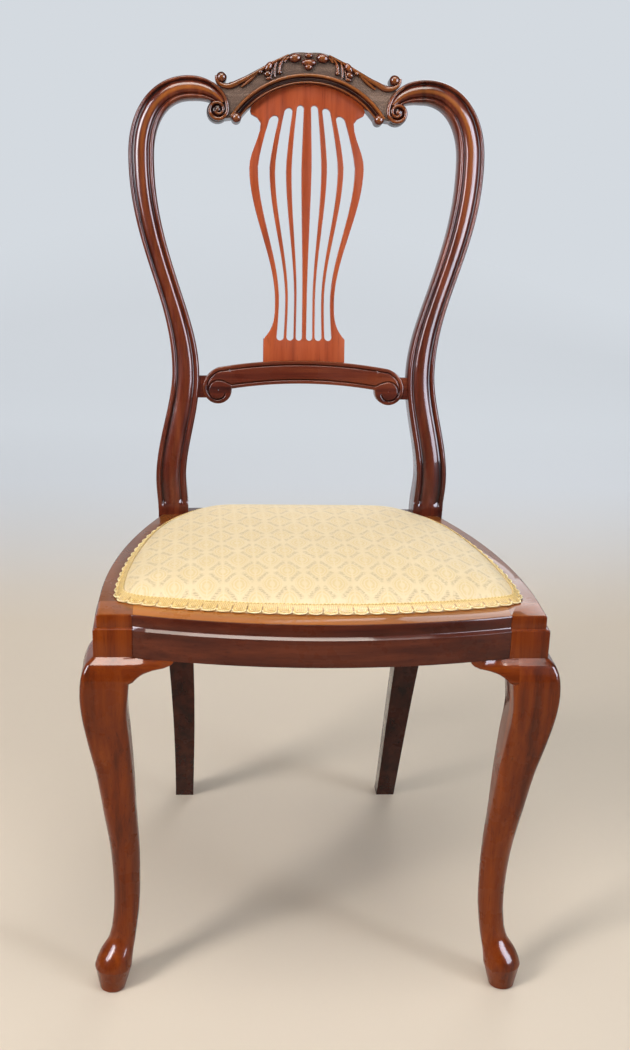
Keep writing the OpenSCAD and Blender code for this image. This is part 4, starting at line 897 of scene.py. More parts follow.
    def rings(self, q: Array) -> tuple[Array, Array]:
        """Returns the rings and tones of the post at q."""
        c, n = self.path(q), self.across(q)
        half = self.width(q)[:, None] / 2
        amount = ease((c[:, 1] - self.stop[0]) / self.stop[1])
        depth = mix(self.base_t, self.post_t, ease(c[:, 1] / self.thin_v))
        points, tone = self.band(c + n * half, c - n * half, amount, depth)
        # Ridge tones grow towards the upper arcs, as painted highlight.
        return points, np.where(tone > 0, tone * curve(self.golden, q)[:, None], tone)

    def leg(self, drop: Array) -> Array:
        """Returns the level rings of the rear leg at distances below the seat frame's top."""
        t = np.clip((drop - PLAN.rail_h) / PLAN.leg_h, 0, 1)
        slim = 1 - (1 - t**1.35) ** 1.5
        width = mix(self.widths[0], self.rear_foot_w, slim)
        depth = mix(self.base_t, PLAN.rear_foot_t, slim)
        x = mix(self.base_x, self.rear_foot_x, 1 - (1 - t**1.35) ** 3.2)
        y = PLAN.seat_d + PLAN.leg_sweep * t**1.75
        share, behind, _ = self.section(np.zeros(len(t)), depth, width)
        z = np.broadcast_to((PLAN.seat_top - drop)[:, None], share.shape)
        return stack(x[:, None] + width[:, None] * (0.5 - share), y[:, None] + behind, z)

    def build(self, finishes: Finishes) -> None:
        """Builds both posts."""
        drop = PLAN.seat_top - PLAN.leg_h * span(0, 1, 46) ** 0.85
        q = join([span(0, 0.55, 24)[1:], span(0.55, 3, 100)[1:],
                            span(3, 3 + self.joint_share, 10)[1:]])
        drop = np.append(drop, 0.0)
        leg = self.leg(drop)
        upper, tone = self.rings(q)
        # Painted shadow under the seat, with some dirt, darkening the rear legs downwards.
        stain_and_shade = -self.stain_and_shade * ease((drop - PLAN.rail_h) / self.leg_shade_len)
        tones = join([np.broadcast_to(stain_and_shade[:, None], leg.shape[:2]), tone])
        for side, part in Shell().sweep(join([leg, upper]), tones).pair():
            piece = part.build(f"back_post_{side}_moulded", [finishes.post])
            register(piece, "show_wood", f"back_post_{side}")


@dataclass
class Crest:
    """The carved crest rail with its shoulders, arch moulding, volutes, ribbons and buds."""

    post: Upright
    crest_v: float = 531.4
    dip: Pair = (89, 497)
    thick: float = 25
    ground_d: float = 4
    arch_r: float = 95
    arch_w: float = 11
    arch_v: float = 402
    arch_from: float = 34
    volute: Pair = (103, 466)
    volute_r: float = 13.2
    rim_w: float = 4.4
    coil: float = 520
    curl: Pair = (99, 502.4)
    curl_r: float = 6.1
    edge_shares: Rows = ((0, 0), (0.1, 0.067), (0.2, 0.18), (0.343, 0.377), (0.449, 0.533), (0.554, 0.681),
                         (0.663, 0.817), (0.766, 0.945), (0.82, 0.985), (0.903, 1), (1, 0.99))

    def edge(self, n: int) -> Array:
        """Returns n points [x, v] of the top outline, from the right dip to the middle."""
        t = span(0, 1, n)
        return stack(self.dip[0] * (1 - t), mix(self.dip[1], self.crest_v, curve(self.edge_shares, t)))

    def turn_in(self, turn: Array, inset: float = 0.0) -> Array:
        """Returns points [x, v] where the outer edge, drawn in by inset, turns down to the volute."""
        x, v = self.volute
        end = self.post.crown[1] + self.post.widths[-1] / 2
        across = mix(self.post.crown[0], x - self.volute_r, np.sin(turn)) + inset * np.sin(turn)
        return stack(across, mix(v, end, np.cos(turn)) - inset * np.cos(turn))

    def shoulders(self, shell: Shell) -> None:
        """Adds the right shoulder, from the joint to the volute."""
        q = span(3 + self.post.joint_share, 4, 40)
        first, tone_a = self.post.rings(q)
        t = span(0, 1, 26)[1:]
        low = self.post.crown[1] - self.post.widths[-1] / 2
        outer = self.turn_in(np.radians(90 * 0.82 * t))
        vx, vv = self.volute
        top = (self.post.crown[0], low)
        r = self.volute_r
        hold = [top, (top[0] - r * 0.6, low), (vx + r * 0.9, vv + r * 1.05), (vx, vv + r * 0.45)]
        depth = mix(self.post.post_t, self.thick - 1, t)
        second, tone_b = self.post.band(outer, bezier(hold, t), np.ones(len(t)), depth)
        shell.sweep(join([first, second]), join([tone_a, tone_b]), 2)

    def ribbon(self, shell: Shell, flat: Array, radius: Array, near: Floats, sink: float,
               squash: float = 1.0, tone: float = 0.3) -> None:
        """Adds a rounded strand on the face.

        Args:
            shell: The shell to add to.
            flat: Points [x, v] of its middle.
            radius: Half its width at each point.
            near: Depth of its ridge behind the face.
            sink: How far it reaches into the ground.
            squash: Height of the ridge over its shoulders, as a share of the radius.
            tone: Tone of the ridge.
        """
        run = unit(np.gradient(flat, axis=0))
        side = beside(run)
        a = angles(0, 180, 11)
        u, h = np.cos(a), np.sin(a)
        x = flat[:, None] + side[:, None] * (radius[:, None] * u)[..., None]
        near = np.broadcast_to(np.asarray(near, float), radius.shape)[:, None]
        d = near + radius[:, None] * squash * (1 - h)
        foot = np.stack([flat + side * radius[:, None], flat - side * radius[:, None]], axis=1)[:, ::-1]
        pts = join([x, foot], axis=1)
        deep = join([d, np.maximum(d[:, -1:], 0) + sink, np.maximum(d[:, :1], 0) + sink], axis=1)
        # Ridge lighter as wear and painted highlight; flanks and foot darker as painted shade against the
        # ground.
        tones = np.broadcast_to(join([tone * (2 * h - 1), [-1, -1]]), deep.shape)
        shell.sweep(PLAN.at(pts[..., 0], pts[..., 1], deep), tones)

    def knob(self, shell: Shell, x: float, v: float, r: float, near: float, far: float, oval: float = 1.0,
             turn: float = 0.0, tone: float = 1.0, dome: float = 0.85) -> None:
        """Adds a domed boss, round or oval.

        Args:
            shell: The shell to add to.
            x: Place across.
            v: Place up the back.
            r: Half its width.
            near: Depth of its top.
            far: Depth of its foot.
            oval: Its other half width, as a share.
            turn: Turn of the oval, in degrees.
            tone: Tone of its top.
            dome: Rise of its top, as a share of its smaller half width.
        """
        a = circle(32)
        rise = angles(0, 84, 9)
        high = r * min(oval, 1) * dome
        rings, deep = [], []
        c, s = math.cos(math.radians(turn)), math.sin(math.radians(turn))
        for k, size in [(far, 1.0), *[(near + high * (1 - math.sin(b)), math.cos(b)) for b in rise]]:
            u, w = r * size * np.cos(a), r * oval * size * np.sin(a)
            rings.append(stack(x + u * c - w * s, v + u * s + w * c))
            deep.append(np.full(len(a), k))
        flat, deep = np.array(rings), np.array(deep)
        # Foot darker as painted shade, top lighter as wear and painted highlight.
        tones = np.broadcast_to(span(-0.8, tone, len(rings))[:, None], deep.shape)
        shell.sweep(PLAN.at(flat[..., 0], flat[..., 1], deep), tones)

    def volutes(self, shell: Shell) -> None:
        """Adds the right volute: its drum, the rim that coils in and its eye."""
        x, v = self.volute
        # The drum under the coil gets a dark tone: painted shade in the recess.
        self.knob(shell, x, v, self.volute_r - 0.6, 2.4, self.thick, tone=-0.6)
        turn = angles(0, 90, 16)[6:]
        half = self.rim_w / 2
        lead = self.turn_in(turn, half)
        t = span(0, 1, 120)[1:]
        sweep = np.radians(180 + self.coil * t)
        reach = (self.volute_r - half) * (1 - 0.43 * (t * self.coil / 360) ** 1.35)
        coil = stack(x + reach * np.cos(sweep), v + reach * np.sin(sweep))
        path = join([lead, coil])
        radius = join([half * mix(0.75, 1, span(0, 1, len(lead))), half * mix(1, 0.62, t)])
        self.ribbon(shell, path, radius, mix(0.0, -0.6, span(0, 1, len(path))), 3.4, 0.8, 0.7)
        self.knob(shell, x, v, self.volute_r * 0.2, -1.0, 5, dome=0.5)

    def arch(self, shell: Shell) -> None:
        """Adds the arch moulding, through the rail's whole thickness."""
        a = angles(self.arch_from - 1, 181 - self.arch_from, 120)
        turn = angles(0, 180, 11)
        dip = np.sin(span(0, math.pi, 9))
        # The beads get light tones as wear and painted highlight, the cove a dark tone as painted shade.
        inner = [(1.0 - math.cos(b), 1.7 - 1.1 * math.sin(b), 0.9 * math.sin(b)) for b in turn]
        cove = [(2.2 + 0.6 * k, 2.6 + 1.9 * h**0.7, -0.3 - 0.7 * h) for k, h in enumerate(dip.tolist())]
        outer = [(9.0 - 1.9 * math.cos(b), 1.6 - 2.0 * math.sin(b), 1.2 * math.sin(b)) for b in turn]
        rows = [(0.0, self.thick - 0.2, 0.0), *inner, *cove, *outer, (self.arch_w, self.thick - 0.2, 0.0)]
        r, d, tone = np.array(rows).T
        r = r + self.arch_r
        x = r[None] * np.cos(a)[:, None]
        v = self.arch_v + r[None] * np.sin(a)[:, None]
        deep = np.broadcast_to(d, x.shape)
        shell.sweep(PLAN.at(x, v, deep), np.broadcast_to(tone, x.shape))

    def plate(self, shell: Shell) -> None:
        """Adds the recessed ground behind the carving."""
        x, v = self.volute
        foot = (x - self.volute_r * 0.6, v - self.volute_r * 0.72)
        top = np.array([foot, (x, v), (x, v + 24), *self.edge(70)])
        left = top[::-1][1:] * [-1, 1]
        a = angles(180 - self.arch_from, self.arch_from, 60)
        mid = self.arch_r + self.arch_w / 2
        under = stack(mid * np.cos(a), self.arch_v + mid * np.sin(a))
        outline = join([top, left, under])
        rings = np.stack([PLAN.at(outline[:, 0], outline[:, 1], d) for d in (self.thick, self.ground_d)])
        n = len(outline)
        faces = [(j, (j + 1) % n, n + (j + 1) % n, n + j) for j in range(n)]
        shell.add(rings, faces + [tuple(range(n - 1, -1, -1))], 0.0, 0)
        # The ground gets a slightly dark tone: painted shade in the recess behind the carving.
        shell.add(rings[1], [tuple(range(n))], -0.2, 1)

    def carving(self, shell: Shell) -> None:
        """Adds the right half of the carved ribbons, leaves and buds."""
        ribbon = [(105.4, 503.5, 1.2), (104.6, 499.2, 1.7), (102, 495.4, 2.2), (97.5, 493, 2.8),
                  (93, 492.2, 3.2), (88.5, 492.6, 3.5), (83.5, 494.7, 3.5), (78, 497.6, 3.2),
                  (71, 501, 2.8), (63, 505.8, 2.4), (56, 510, 2.0), (49, 514.1, 1.8),
                  (40, 519.2, 1.6), (31, 523.8, 1.4), (23, 527.8, 1.0)]
        fine = span(0, 1, 90)
        rows = np.column_stack([span(0, 1, len(ribbon)), ribbon])
        x, v, half = (curve(rows, fine, k) for k in (1, 2, 3))
        self.ribbon(shell, stack(x, v), half, 0.2, 4.0, 0.8, 1.0)
        strands = [
            ([(55.5, 510.2), (61.5, 503.5), (69, 497), (76.5, 491.5)], 0.5, 1.9, 0.9),
            ([(57.5, 506.5), (62, 501.5), (66, 498), (70, 495)], 0.3, 0.9, 2.4),
            ([(25.5, 525), (31.5, 522), (33.5, 516), (33, 509)], 1.0, 1.7, 0.2),
            ([(35, 522.5), (38.8, 517), (39.5, 509), (38.2, 503)], 0.7, 1.5, 0.8),
            ([(37.5, 521), (41, 519), (45, 517), (48, 510)], 0.8, 2.2, 0.0),
            ([(47, 516), (50.5, 514), (54, 511), (55.5, 508)], 0.8, 1.9, 0.3),
            ([(41.5, 511), (42.5, 507), (43.5, 504), (44, 500.5)], 0.6, 1.3, 1.0),
            ([(21, 525.5), (24, 525), (26, 523), (27.5, 520)], 0.7, 1.5, 0.6),
        ]
        s = span(0, 1, 26)
        swell = np.sin(math.pi * np.clip(s, 0.02, 1) ** 1.2 / 1.25)
        for points, tip, full, near in strands:
            self.ribbon(shell, bezier(points, s), mix(tip, full, swell), near, 4.5, 0.9, 1.0)
        buds = [(15.7, 524.7, 7.4, -2.4, 0.7, -8), (33, 508.6, 2.9, -0.4, 1, 0),
                (45.6, 514.2, 6.6, -1.7, 0.6, -56), (46.8, 506.6, 4.5, -1.1, 0.72, -24),
                (45.4, 501.4, 3.9, -0.3, 0.5, -12), (54.8, 508.6, 2.6, 0, 1, 0)]
        for x, v, r, near, oval, turn in buds:
            self.knob(shell, x, v, r, near, 8, oval, turn)
        self.knob(shell, *self.curl, self.curl_r, -0.6, self.thick - 4)
        a = math.radians(self.arch_from)
        mid = self.arch_r + self.arch_w * 0.45
        self.knob(shell, mid * math.cos(a) - 1.2, self.arch_v + mid * math.sin(a), 5.7, -1.4, 20)

    def build(self, finishes: Finishes) -> None:
        """Builds the crest rail."""
        half = Shell()
        self.shoulders(half)
        self.volutes(half)
        self.carving(half)
        shell = half.mirrored()
        self.plate(shell)
        self.arch(shell)
        self.knob(shell, 0, 527.4, 4.8, -1.4, 8, 0.6)
        self.knob(shell, 0, 515, 4.6, -1.4, 8, 0.85)
        self.knob(shell, 0, 519.6, 8.4, -2.6, 8, 0.48)
        woods = [finishes.crest, finishes.ground, finishes.post]
        register(shell.build("crest_rail_carved", woods, 50), "show_wood", "crest_rail")


@dataclass
class MidRail:
    """The curved rail under the splat, whose incised line coils into a scroll at each end."""

    mid_v: float = 183
    mid_h: float = 26.5
    mid_drop: float = 8
    mid_in: float = 2.5
    mid_t: float = 20
    scroll_x: float = 99.5
    scroll_r: float = 15.5
    scroll_v: float = 148
    tail_share: float = 1.69
    tail_power: float = 4.2
    top_share: float = 1.6
    line_in: float = 4.6
    line_w: float = 0.75
    line_d: float = 1.5
    coil: Rows = ((-160, 8.4), (-120, 10.2), (-60, 11.3), (0, 11.6), (90, 11.6), (120, 12.1), (140, 13.5),
                  (158, 16.9), (180, 24))
    overlap: float = 1.3
    scroll_proud: float = 0.03
    arris: float = 0.8
    lip: float = 0.9
    lip_w: float = 0.35
    lip_tone: float = 0.4
    neck_x: float = 125
    neck: Pair = (139, 164.5)
    neck_d: float = 2.2
    neck_r: float = 0.7

    def edges(self, x: Floats) -> tuple[Array, Array]:
        """Returns the heights of the bar's upper and lower edges at x."""
        half = self.scroll_x - self.scroll_r / 2
        r = (half**2 + self.mid_drop**2) / (2 * self.mid_drop)
        more = self.mid_h * self.top_share
        x = np.asarray(x, float)
        top = self.mid_v - r - more + np.sqrt((r + more) ** 2 - x**2)
        return top, self.mid_v - self.mid_h - r + np.sqrt(r * r - x**2)

    def groove(self, away: Array) -> Array:
        """Returns the depth of an incised line at distances from its middle."""
        return self.line_d * np.exp(-((away / self.line_w) ** 2))

    def face(self, front: float, cut: Array, near: Array) -> tuple[Array, Array]:
        """Returns the face's depths and tones, from how deep it is cut and how near its edge is."""
        depth = front + cut + self.lip * np.exp(-near / self.lip_w)
        # The incised line is darkened as painted shade, the arris lightened as wear and painted highlight.
        return depth, -cut / self.line_d + self.lip_tone * np.exp(-near / self.arris)

    def bar(self, shell: Shell) -> None:
        """Adds the bar between the scrolls."""
        end = self.scroll_x - self.scroll_r + self.overlap
        back = self.mid_in + self.mid_t
        line = self.line_in + self.line_w * span(-2, 2, 11)
        from_top = join([[0, 0.35, 1.1, 2.2], line])
        rings, tones = [], []
        for x in span(-end, end, 91):
            top, low = (float(k) for k in self.edges(x))
            drop = join([from_top, span(7.5, top - low - 7.5, 5), (top - low - from_top)[::-1]])
            near = np.minimum(drop, top - low - drop)
            d, tone = self.face(self.mid_in, self.groove(near - self.line_in), near)
            d = join([d, [back - self.arris, back, back, back - self.arris]])
            v = join([top - drop, [low, low + self.arris, top - self.arris, top]])
            rings.append(PLAN.at(x, v, d))
            tones.append(join([tone, np.zeros(4)]))
        shell.sweep(rings, tones)

    def edge(self, a: Array) -> Array:
        """Returns the reach of a scroll's outline in directions from 90 down to -270 degrees."""
        tail = np.clip((a + 180) / 270, 0, 1) ** self.tail_power
        reach = self.scroll_r * mix(1, self.tail_share, tail)
        up = np.radians(a)
        above = np.full(a.shape, self.scroll_r * self.tail_share)
        for _ in range(12):
            top = self.edges(self.scroll_x + above * np.cos(up))[0] - self.scroll_v
            above = np.clip(top / np.maximum(np.sin(up), 0.05), 0, 60)
        side = (self.scroll_r + 0.3) / np.maximum(-np.cos(up), 0.02)
        return np.where(a < -180, np.minimum(above, side), reach)

    def scroll(self, shell: Shell) -> None:
        """Adds the right scroll and its neck."""
        rings, tones = [], []
        back = self.mid_in + self.mid_t
        for a in span(90, -270, 145)[:-1]:
            reach = float(self.edge(np.array([a]))[0])
            r = join([span(0.5, reach - 1.2, 54), reach - np.array([0.8, 0.4, 0.15, 0])])
            turn = math.radians(a)
            x, v = self.scroll_x + r * math.cos(turn), self.scroll_v + r * math.sin(turn)
            if a > -180:
                coil = float(curve(self.coil, a))
                upper = self.groove(r - max(reach - self.line_in, coil)) * float(ease((a + 90) / 40))
                cut = np.maximum(upper, self.groove(r - coil) * float(ease((a + 170) / 30)))
            else:
                upper = self.groove(self.edges(x)[0] - v - self.line_in)
                cut = np.maximum(upper, self.groove(r - float(curve(self.coil, a + 360))))
            d, tone = self.face(self.mid_in - self.scroll_proud, cut, reach - r)
            d = join([d, [back - self.arris, back, back]])
            x = join([x, [x[-1], x[-3], x[0]]])
            v = join([v, [v[-1], v[-3], v[0]]])
            rings.append(PLAN.at(x, v, d))
            tones.append(join([tone, np.zeros(3)]))
        shell.sweep(rings, tones, loop=True)
        low, high = self.neck
        front, r = self.mid_in + self.neck_d, self.neck_r
        v = np.array([low, low + r, high - r, high, high, low])
        d = np.array([front + r, front, front, front + r, back, back])
        shell.sweep([PLAN.at(x, v, d) for x in (self.scroll_x + 6, self.neck_x)])

    def build(self, finishes: Finishes) -> None:
        """Builds the rail."""
        half = Shell()
        self.scroll(half)
        shell = half.mirrored()
        self.bar(shell)
        register(shell.build("mid_rail_scrolled", [finishes.mid], 35), "show_wood", "mid_rail")


@dataclass
class FrontLeg:
    """A cabriole leg in one piece with its corner block, and its two knee brackets."""

    block_w: float = 39
    step_h: float = 14
    block_r: float = 1.1
    # Lighter tone on the block's top: rubbed wear and painted highlight.
    wear_and_highlight: float = 0.7
    step_in: float = 3.5
    knee_out: float = 13.2
    knee_w: float = 47.6
    ankle_in: float = 15.8
    ankle_w: float = 26.8
    pad_w: float = 39.5
    pad_out: float = 4.5
    toe_w: float = 27.5
    foot_h: float = 27
    knee_r: float = 4.5
    bracket_l: float = 40
    bracket_t: float = 20
    bracket_in: float = 9
    pad_round: float = 0.49
    leg_shares: Rows = ((0.17, 0.076, 0), (0.231, 0, 0.02), (0.317, 0.007, 0.082), (0.416, 0.097, 0.187),
                        (0.535, 0.303, 0.346), (0.655, 0.51, 0.524), (0.77, 0.786, 0.755),
                        (0.85, 0.952, 0.865), (0.909, 1, 1), (0.96, 0.917, 0.971), (0.985, 0.752, 0.851),
                        (1, 0.579, 0.635))
    flare_shares: Rows = ((0, 0, 0), (0.15, 0.094, 0.095), (0.37, 0.332, 0.354), (0.66, 0.774, 0.827),
                          (1, 1, 1))
    shelf_rows: Rows = ((0.909, 13.2, 34.4), (0.93, 12.9, 35), (0.95, 12, 35.8), (0.967, 10.4, 36.8),
                        (0.98, 8.2, 38), (0.986, 6.9, 38.5), (1, 0.2, 39))
    bracket_rows: Rows = ((-0.25, 27), (0, 22.5), (0.06, 20), (0.13, 17.5), (0.26, 14.4), (0.49, 11.6),
                          (0.75, 9), (0.91, 5.2), (0.975, 2.4), (1, 1))

    def out(self, s: Floats) -> Array:
        """Returns how far the outer face stands out of the block at a share of the leg's height."""
        shelf = np.asarray(self.shelf_rows)
        low = mix(-self.ankle_in, self.knee_out, curve(self.leg_shares, s, 1))
        return np.where(np.asarray(s) > shelf[0, 0], np.interp(s, shelf[:, 0], shelf[:, 1]), low)

    def width(self, s: Floats) -> Array:
        """Returns the leg's thickness at a share of its height."""
        shelf = np.asarray(self.shelf_rows)
        low = mix(self.ankle_w, self.knee_w, curve(self.leg_shares, s, 2))
        high = np.interp(s, shelf[:, 0], shelf[:, 1] + shelf[:, 2])
        return np.where(np.asarray(s) > shelf[0, 0], high, low)

    def ring(self, x0: float, x1: float, y0: float, y1: float, r: float, z: float) -> Array:
        """Returns a level rectangle with rounded corners."""
        turn = angles(0, 90, 8)
        corners = ((x1 - r, y1 - r, 0), (x0 + r, y1 - r, 90), (x0 + r, y0 + r, 180), (x1 - r, y0 + r, 270))
        turns = [(cx, cy, turn + math.radians(a)) for cx, cy, a in corners]
        return join([stack(cx + r * np.cos(b), cy + r * np.sin(b), z) for cx, cy, b in turns])

    def cut(self, z: float, out: float, width: float, r: float) -> Array:
        """Returns the leg's level section at height z."""
        half = PLAN.half_w
        return self.ring(half + out - width, half + out, -out, -out + width, r, z)

    def rings(self) -> Array:
        """Returns all sections, from the floor to the block's top."""
        toe, pad, foot = self.toe_w, self.pad_w, self.foot_h
        feet = ((0, toe - 2.4, 1.1), (0.8, toe - 0.6, 1.1), (2.2, toe + 0.2, 1.0), (foot - 2.0, pad - 1.0, 0),
                (foot - 0.8, pad - 0.15, 0), (foot, pad, 0))
        rings = [self.cut(z, self.pad_out - (pad - w) / 2 + lean, w, w * self.pad_round)
                 for z, w, lean in feet]
        low = self.leg_shares[0][0]
        flare = PLAN.leg_h * low - foot
        for f in span(0, 1, 16)[1:-1]:
            width = float(mix(pad, self.width(low), curve(self.flare_shares, f, 2)))
            out = float(mix(self.pad_out, self.out(low), curve(self.flare_shares, f, 1)))
            rings.append(self.cut(foot + flare * f, out, width, width * self.pad_round))
        for s in join([span(low, 0.9, 76), span(0.903, 0.983, 24), [0.986, 0.9875, 0.993, 1]]):
            width = float(self.width(s))
            r = float(mix(width * 0.48, self.knee_r, ease((s - 0.3) / 0.55)))
            rings.append(self.cut(PLAN.leg_h * s, float(self.out(s)), width, r))
        half, top, step = PLAN.half_w, PLAN.seat_top, self.step_in
        ledge = top - self.step_h
        steps = [(0, PLAN.leg_h + 0.2), (0, ledge - 1.6), (0.5, ledge - 0.5), (1.6, ledge),
                 (step - 0.4, ledge), (step, ledge + 0.5), (step, top - 1.8), (step + 0.5, top - 0.6),
                 (step + 1.7, top)]
        for inset, z in steps:
            rings.append(self.ring(half - self.block_w, half - inset, inset, self.block_w, self.block_r, z))
        return np.array(rings)

    def bracket(self, plan: "SeatPlan", flank: bool) -> Shell:
        """Returns a right knee bracket, under the side rail if flank, which flows out of the knee."""
        half = PLAN.half_w
        inner = half - self.block_w
        share = np.array([0, 0.05, 0.1, 0.16, 0.22, 0.28, 0.36, 0.45, 0.55, 0.66, 0.78, 0.88, 0.94, 0.98, 1])
        rings = []
        hidden = span(inner + self.bracket_in, inner, 6)[:-1]
        for x in join([hidden, inner - span(0, self.bracket_l, 34)]):
            t = (inner - x) / self.bracket_l
            depth = float(np.interp(t, *np.asarray(self.bracket_rows).T))
            z = PLAN.leg_h - 0.1 - depth * share
            rail = plan.side_face(half - x) if flank else plan.front_face(x)
            soft = np.maximum(0, (share - 0.88) / 0.12) ** 2 * min(2.0, depth * 0.3)
            front = mix(-self.out(z / PLAN.leg_h) - 0.12, rail - 0.6, ease(max(t, 0) * 1.1)) + soft
            back = max(rail, 0) + self.bracket_t
            ys = join([front, [back - 1, back, back]])
            zs = join([z, [z[-1], z[-1] + min(1, depth * 0.3), z[0]]])
            rings.append(stack(half - ys, half - x, zs) if flank else stack(x, ys, zs))
        return Shell().sweep(rings)

    def brackets(self, plan: "SeatPlan", finishes: Finishes) -> None:
        """Builds the four knee brackets."""
        for flank, word in ((False, "front"), (True, "side")):
            finish = finishes.bracket_deep if flank else finishes.bracket
            for side, part in self.bracket(plan, flank).pair():
                piece = part.build(f"knee_bracket_{side}_{word}_shaped", [finish], 40)
                register(piece, "leg_wood", f"knee_bracket_{side}_{word}")

    def build(self, finishes: Finishes, recess: Piece) -> None:
        """Builds both legs, with the pad's rebate cut from their blocks."""
        for side, part in Shell().sweep(self.rings()).pair():
            obj = part.build(f"front_leg_{side}_blank", [finishes.leg], 32)
            tool = obj.modifiers.new("rebate", "BOOLEAN")
            tool.object, tool.operation, tool.solver = recess, "DIFFERENCE", "EXACT"
            mesh = spent(obj)
            top_wear_and_highlight(mesh, self.wear_and_highlight)
            register(finish_mesh(mesh, f"front_leg_{side}_shaped", 32), "leg_wood", f"front_leg_{side}")


@dataclass
class SeatPlan:
    """Outline of the seat frame and of the pad's edge."""

    block_w: float = 39
    rail_t: float = 32
    step_in: float = 3.5
    border_w: float = 17
    front_border_w: float = 26
    back_border_w: float = 13
    back_rail_in: float = 2
    back_rail_t: float = 24
    base_in: float = 133.5
    base_out: float = 168.5
    post_clear: float = 4
    corner_power: float = 26
    rebate: float = 6

    @property
    def floor_z(self) -> float:
        """Height of the rebate's floor."""
        return PLAN.seat_top - self.rebate

    @property
    def front_arc(self) -> Pair:
        """Radius and middle of the front rail's outer face."""
        half = PLAN.half_w - self.block_w
        r = (half**2 + PLAN.front_bow**2) / (2 * PLAN.front_bow)
        return r, r - PLAN.front_bow

    @property
    def side_arc(self) -> Pair:
        """Radius and middle of a side rail's outer face."""
        run, fall = PLAN.seat_d - self.block_w, PLAN.half_w - self.base_out
        r = (run**2 + fall**2) / (2 * fall)
        return r, PLAN.half_w - r

    def pad_arcs(self, gap: float = 0.0) -> tuple[Pair, Pair]:
        """Returns radius and middle of the pad's front and side edges, drawn in by a gap."""
        (front_r, front_c), (side_r, side_c) = self.front_arc, self.side_arc
        inset = self.step_in + gap
        return (front_r - inset - self.front_border_w, front_c), (side_r - inset - self.border_w, side_c)

    def front_face(self, x: float) -> float:
        """Returns where the front rail's outer face stands at x."""
        r, middle = self.front_arc
        return middle - math.sqrt(r * r - x * x)

    def side_face(self, y: float) -> float:
        """Returns how far the side rail's outer face stands in from the blocks' width at y."""
        r, middle = self.side_arc
        return PLAN.half_w - middle - math.sqrt(r * r - (y - self.block_w) ** 2)

    def reach(self, a: Array) -> Array:
        """Returns how far the pad's edge is in directions from the front towards the right."""
        e = stack(np.sin(a), -np.cos(a))
        mid = np.array([0, PLAN.seat_d / 2])
        rays = []
        (front_r, front_c), (side_r, side_c) = self.pad_arcs()
        middles = (0, front_c), (side_c, self.block_w), (-side_c, self.block_w)
        for c, r in zip(middles, (front_r, side_r, side_r)):
            o = mid - np.array(c)
            b = e @ o
            rays.append(-b + np.sqrt(b * b - o @ o + r**2))
        back = PLAN.seat_d + self.back_rail_in + self.back_rail_t - self.back_border_w
        n = math.sqrt(0.5)
        cut = n * (self.base_in + PLAN.seat_d) - self.post_clear
        for normal, k in (((0, 1), back), ((n, n), cut), ((-n, n), cut)):
            facing = e @ np.array(normal, float)
            rays.append(np.where(facing > 0.01, (k - normal @ mid) / np.maximum(facing, 0.01), 1e5))
        rays = np.array(rays)
        near = rays.min(0)
        return near * ((near / rays) ** self.corner_power).sum(0) ** (-1 / self.corner_power)

    def ring(self, a: Array, share: float, inset: float, z: Floats) -> Array:
        """Returns points round the pad, drawn in by a share of the way and by an inset."""
        r = self.reach(a) * (1 - share) - inset
        z = np.broadcast_to(np.asarray(z, float), r.shape)
        return stack(r * np.sin(a), PLAN.seat_d / 2 - r * np.cos(a), z)

    def recess(self) -> Piece:
        """Returns a tool in the rebate's shape, which the caller removes after use."""
        a = circle(180)
        levels = (self.floor_z, PLAN.seat_top + 20)
        return Shell().sweep([self.ring(a, 0, -0.3, z) for z in levels]).build("rebate_tool", [])

    def edge_run(self, n: int) -> tuple[Array, Array]:
        """Returns n directions all round, and how far along the pad's edge each is."""
        a = span(0, 2 * math.pi, n)
        p = self.ring(a, 0, 0, 0)
        return a, join([[0], np.cumsum(np.linalg.norm(np.diff(p, axis=0), axis=1))])

    def even(self, n: int) -> tuple[Array, float]:
        """Returns n directions, spaced evenly along the pad's edge, and the edge's length."""
        a, run = self.edge_run(2881)
        return np.interp(span(0, run[-1], n + 1)[:-1], run, a), float(run[-1])


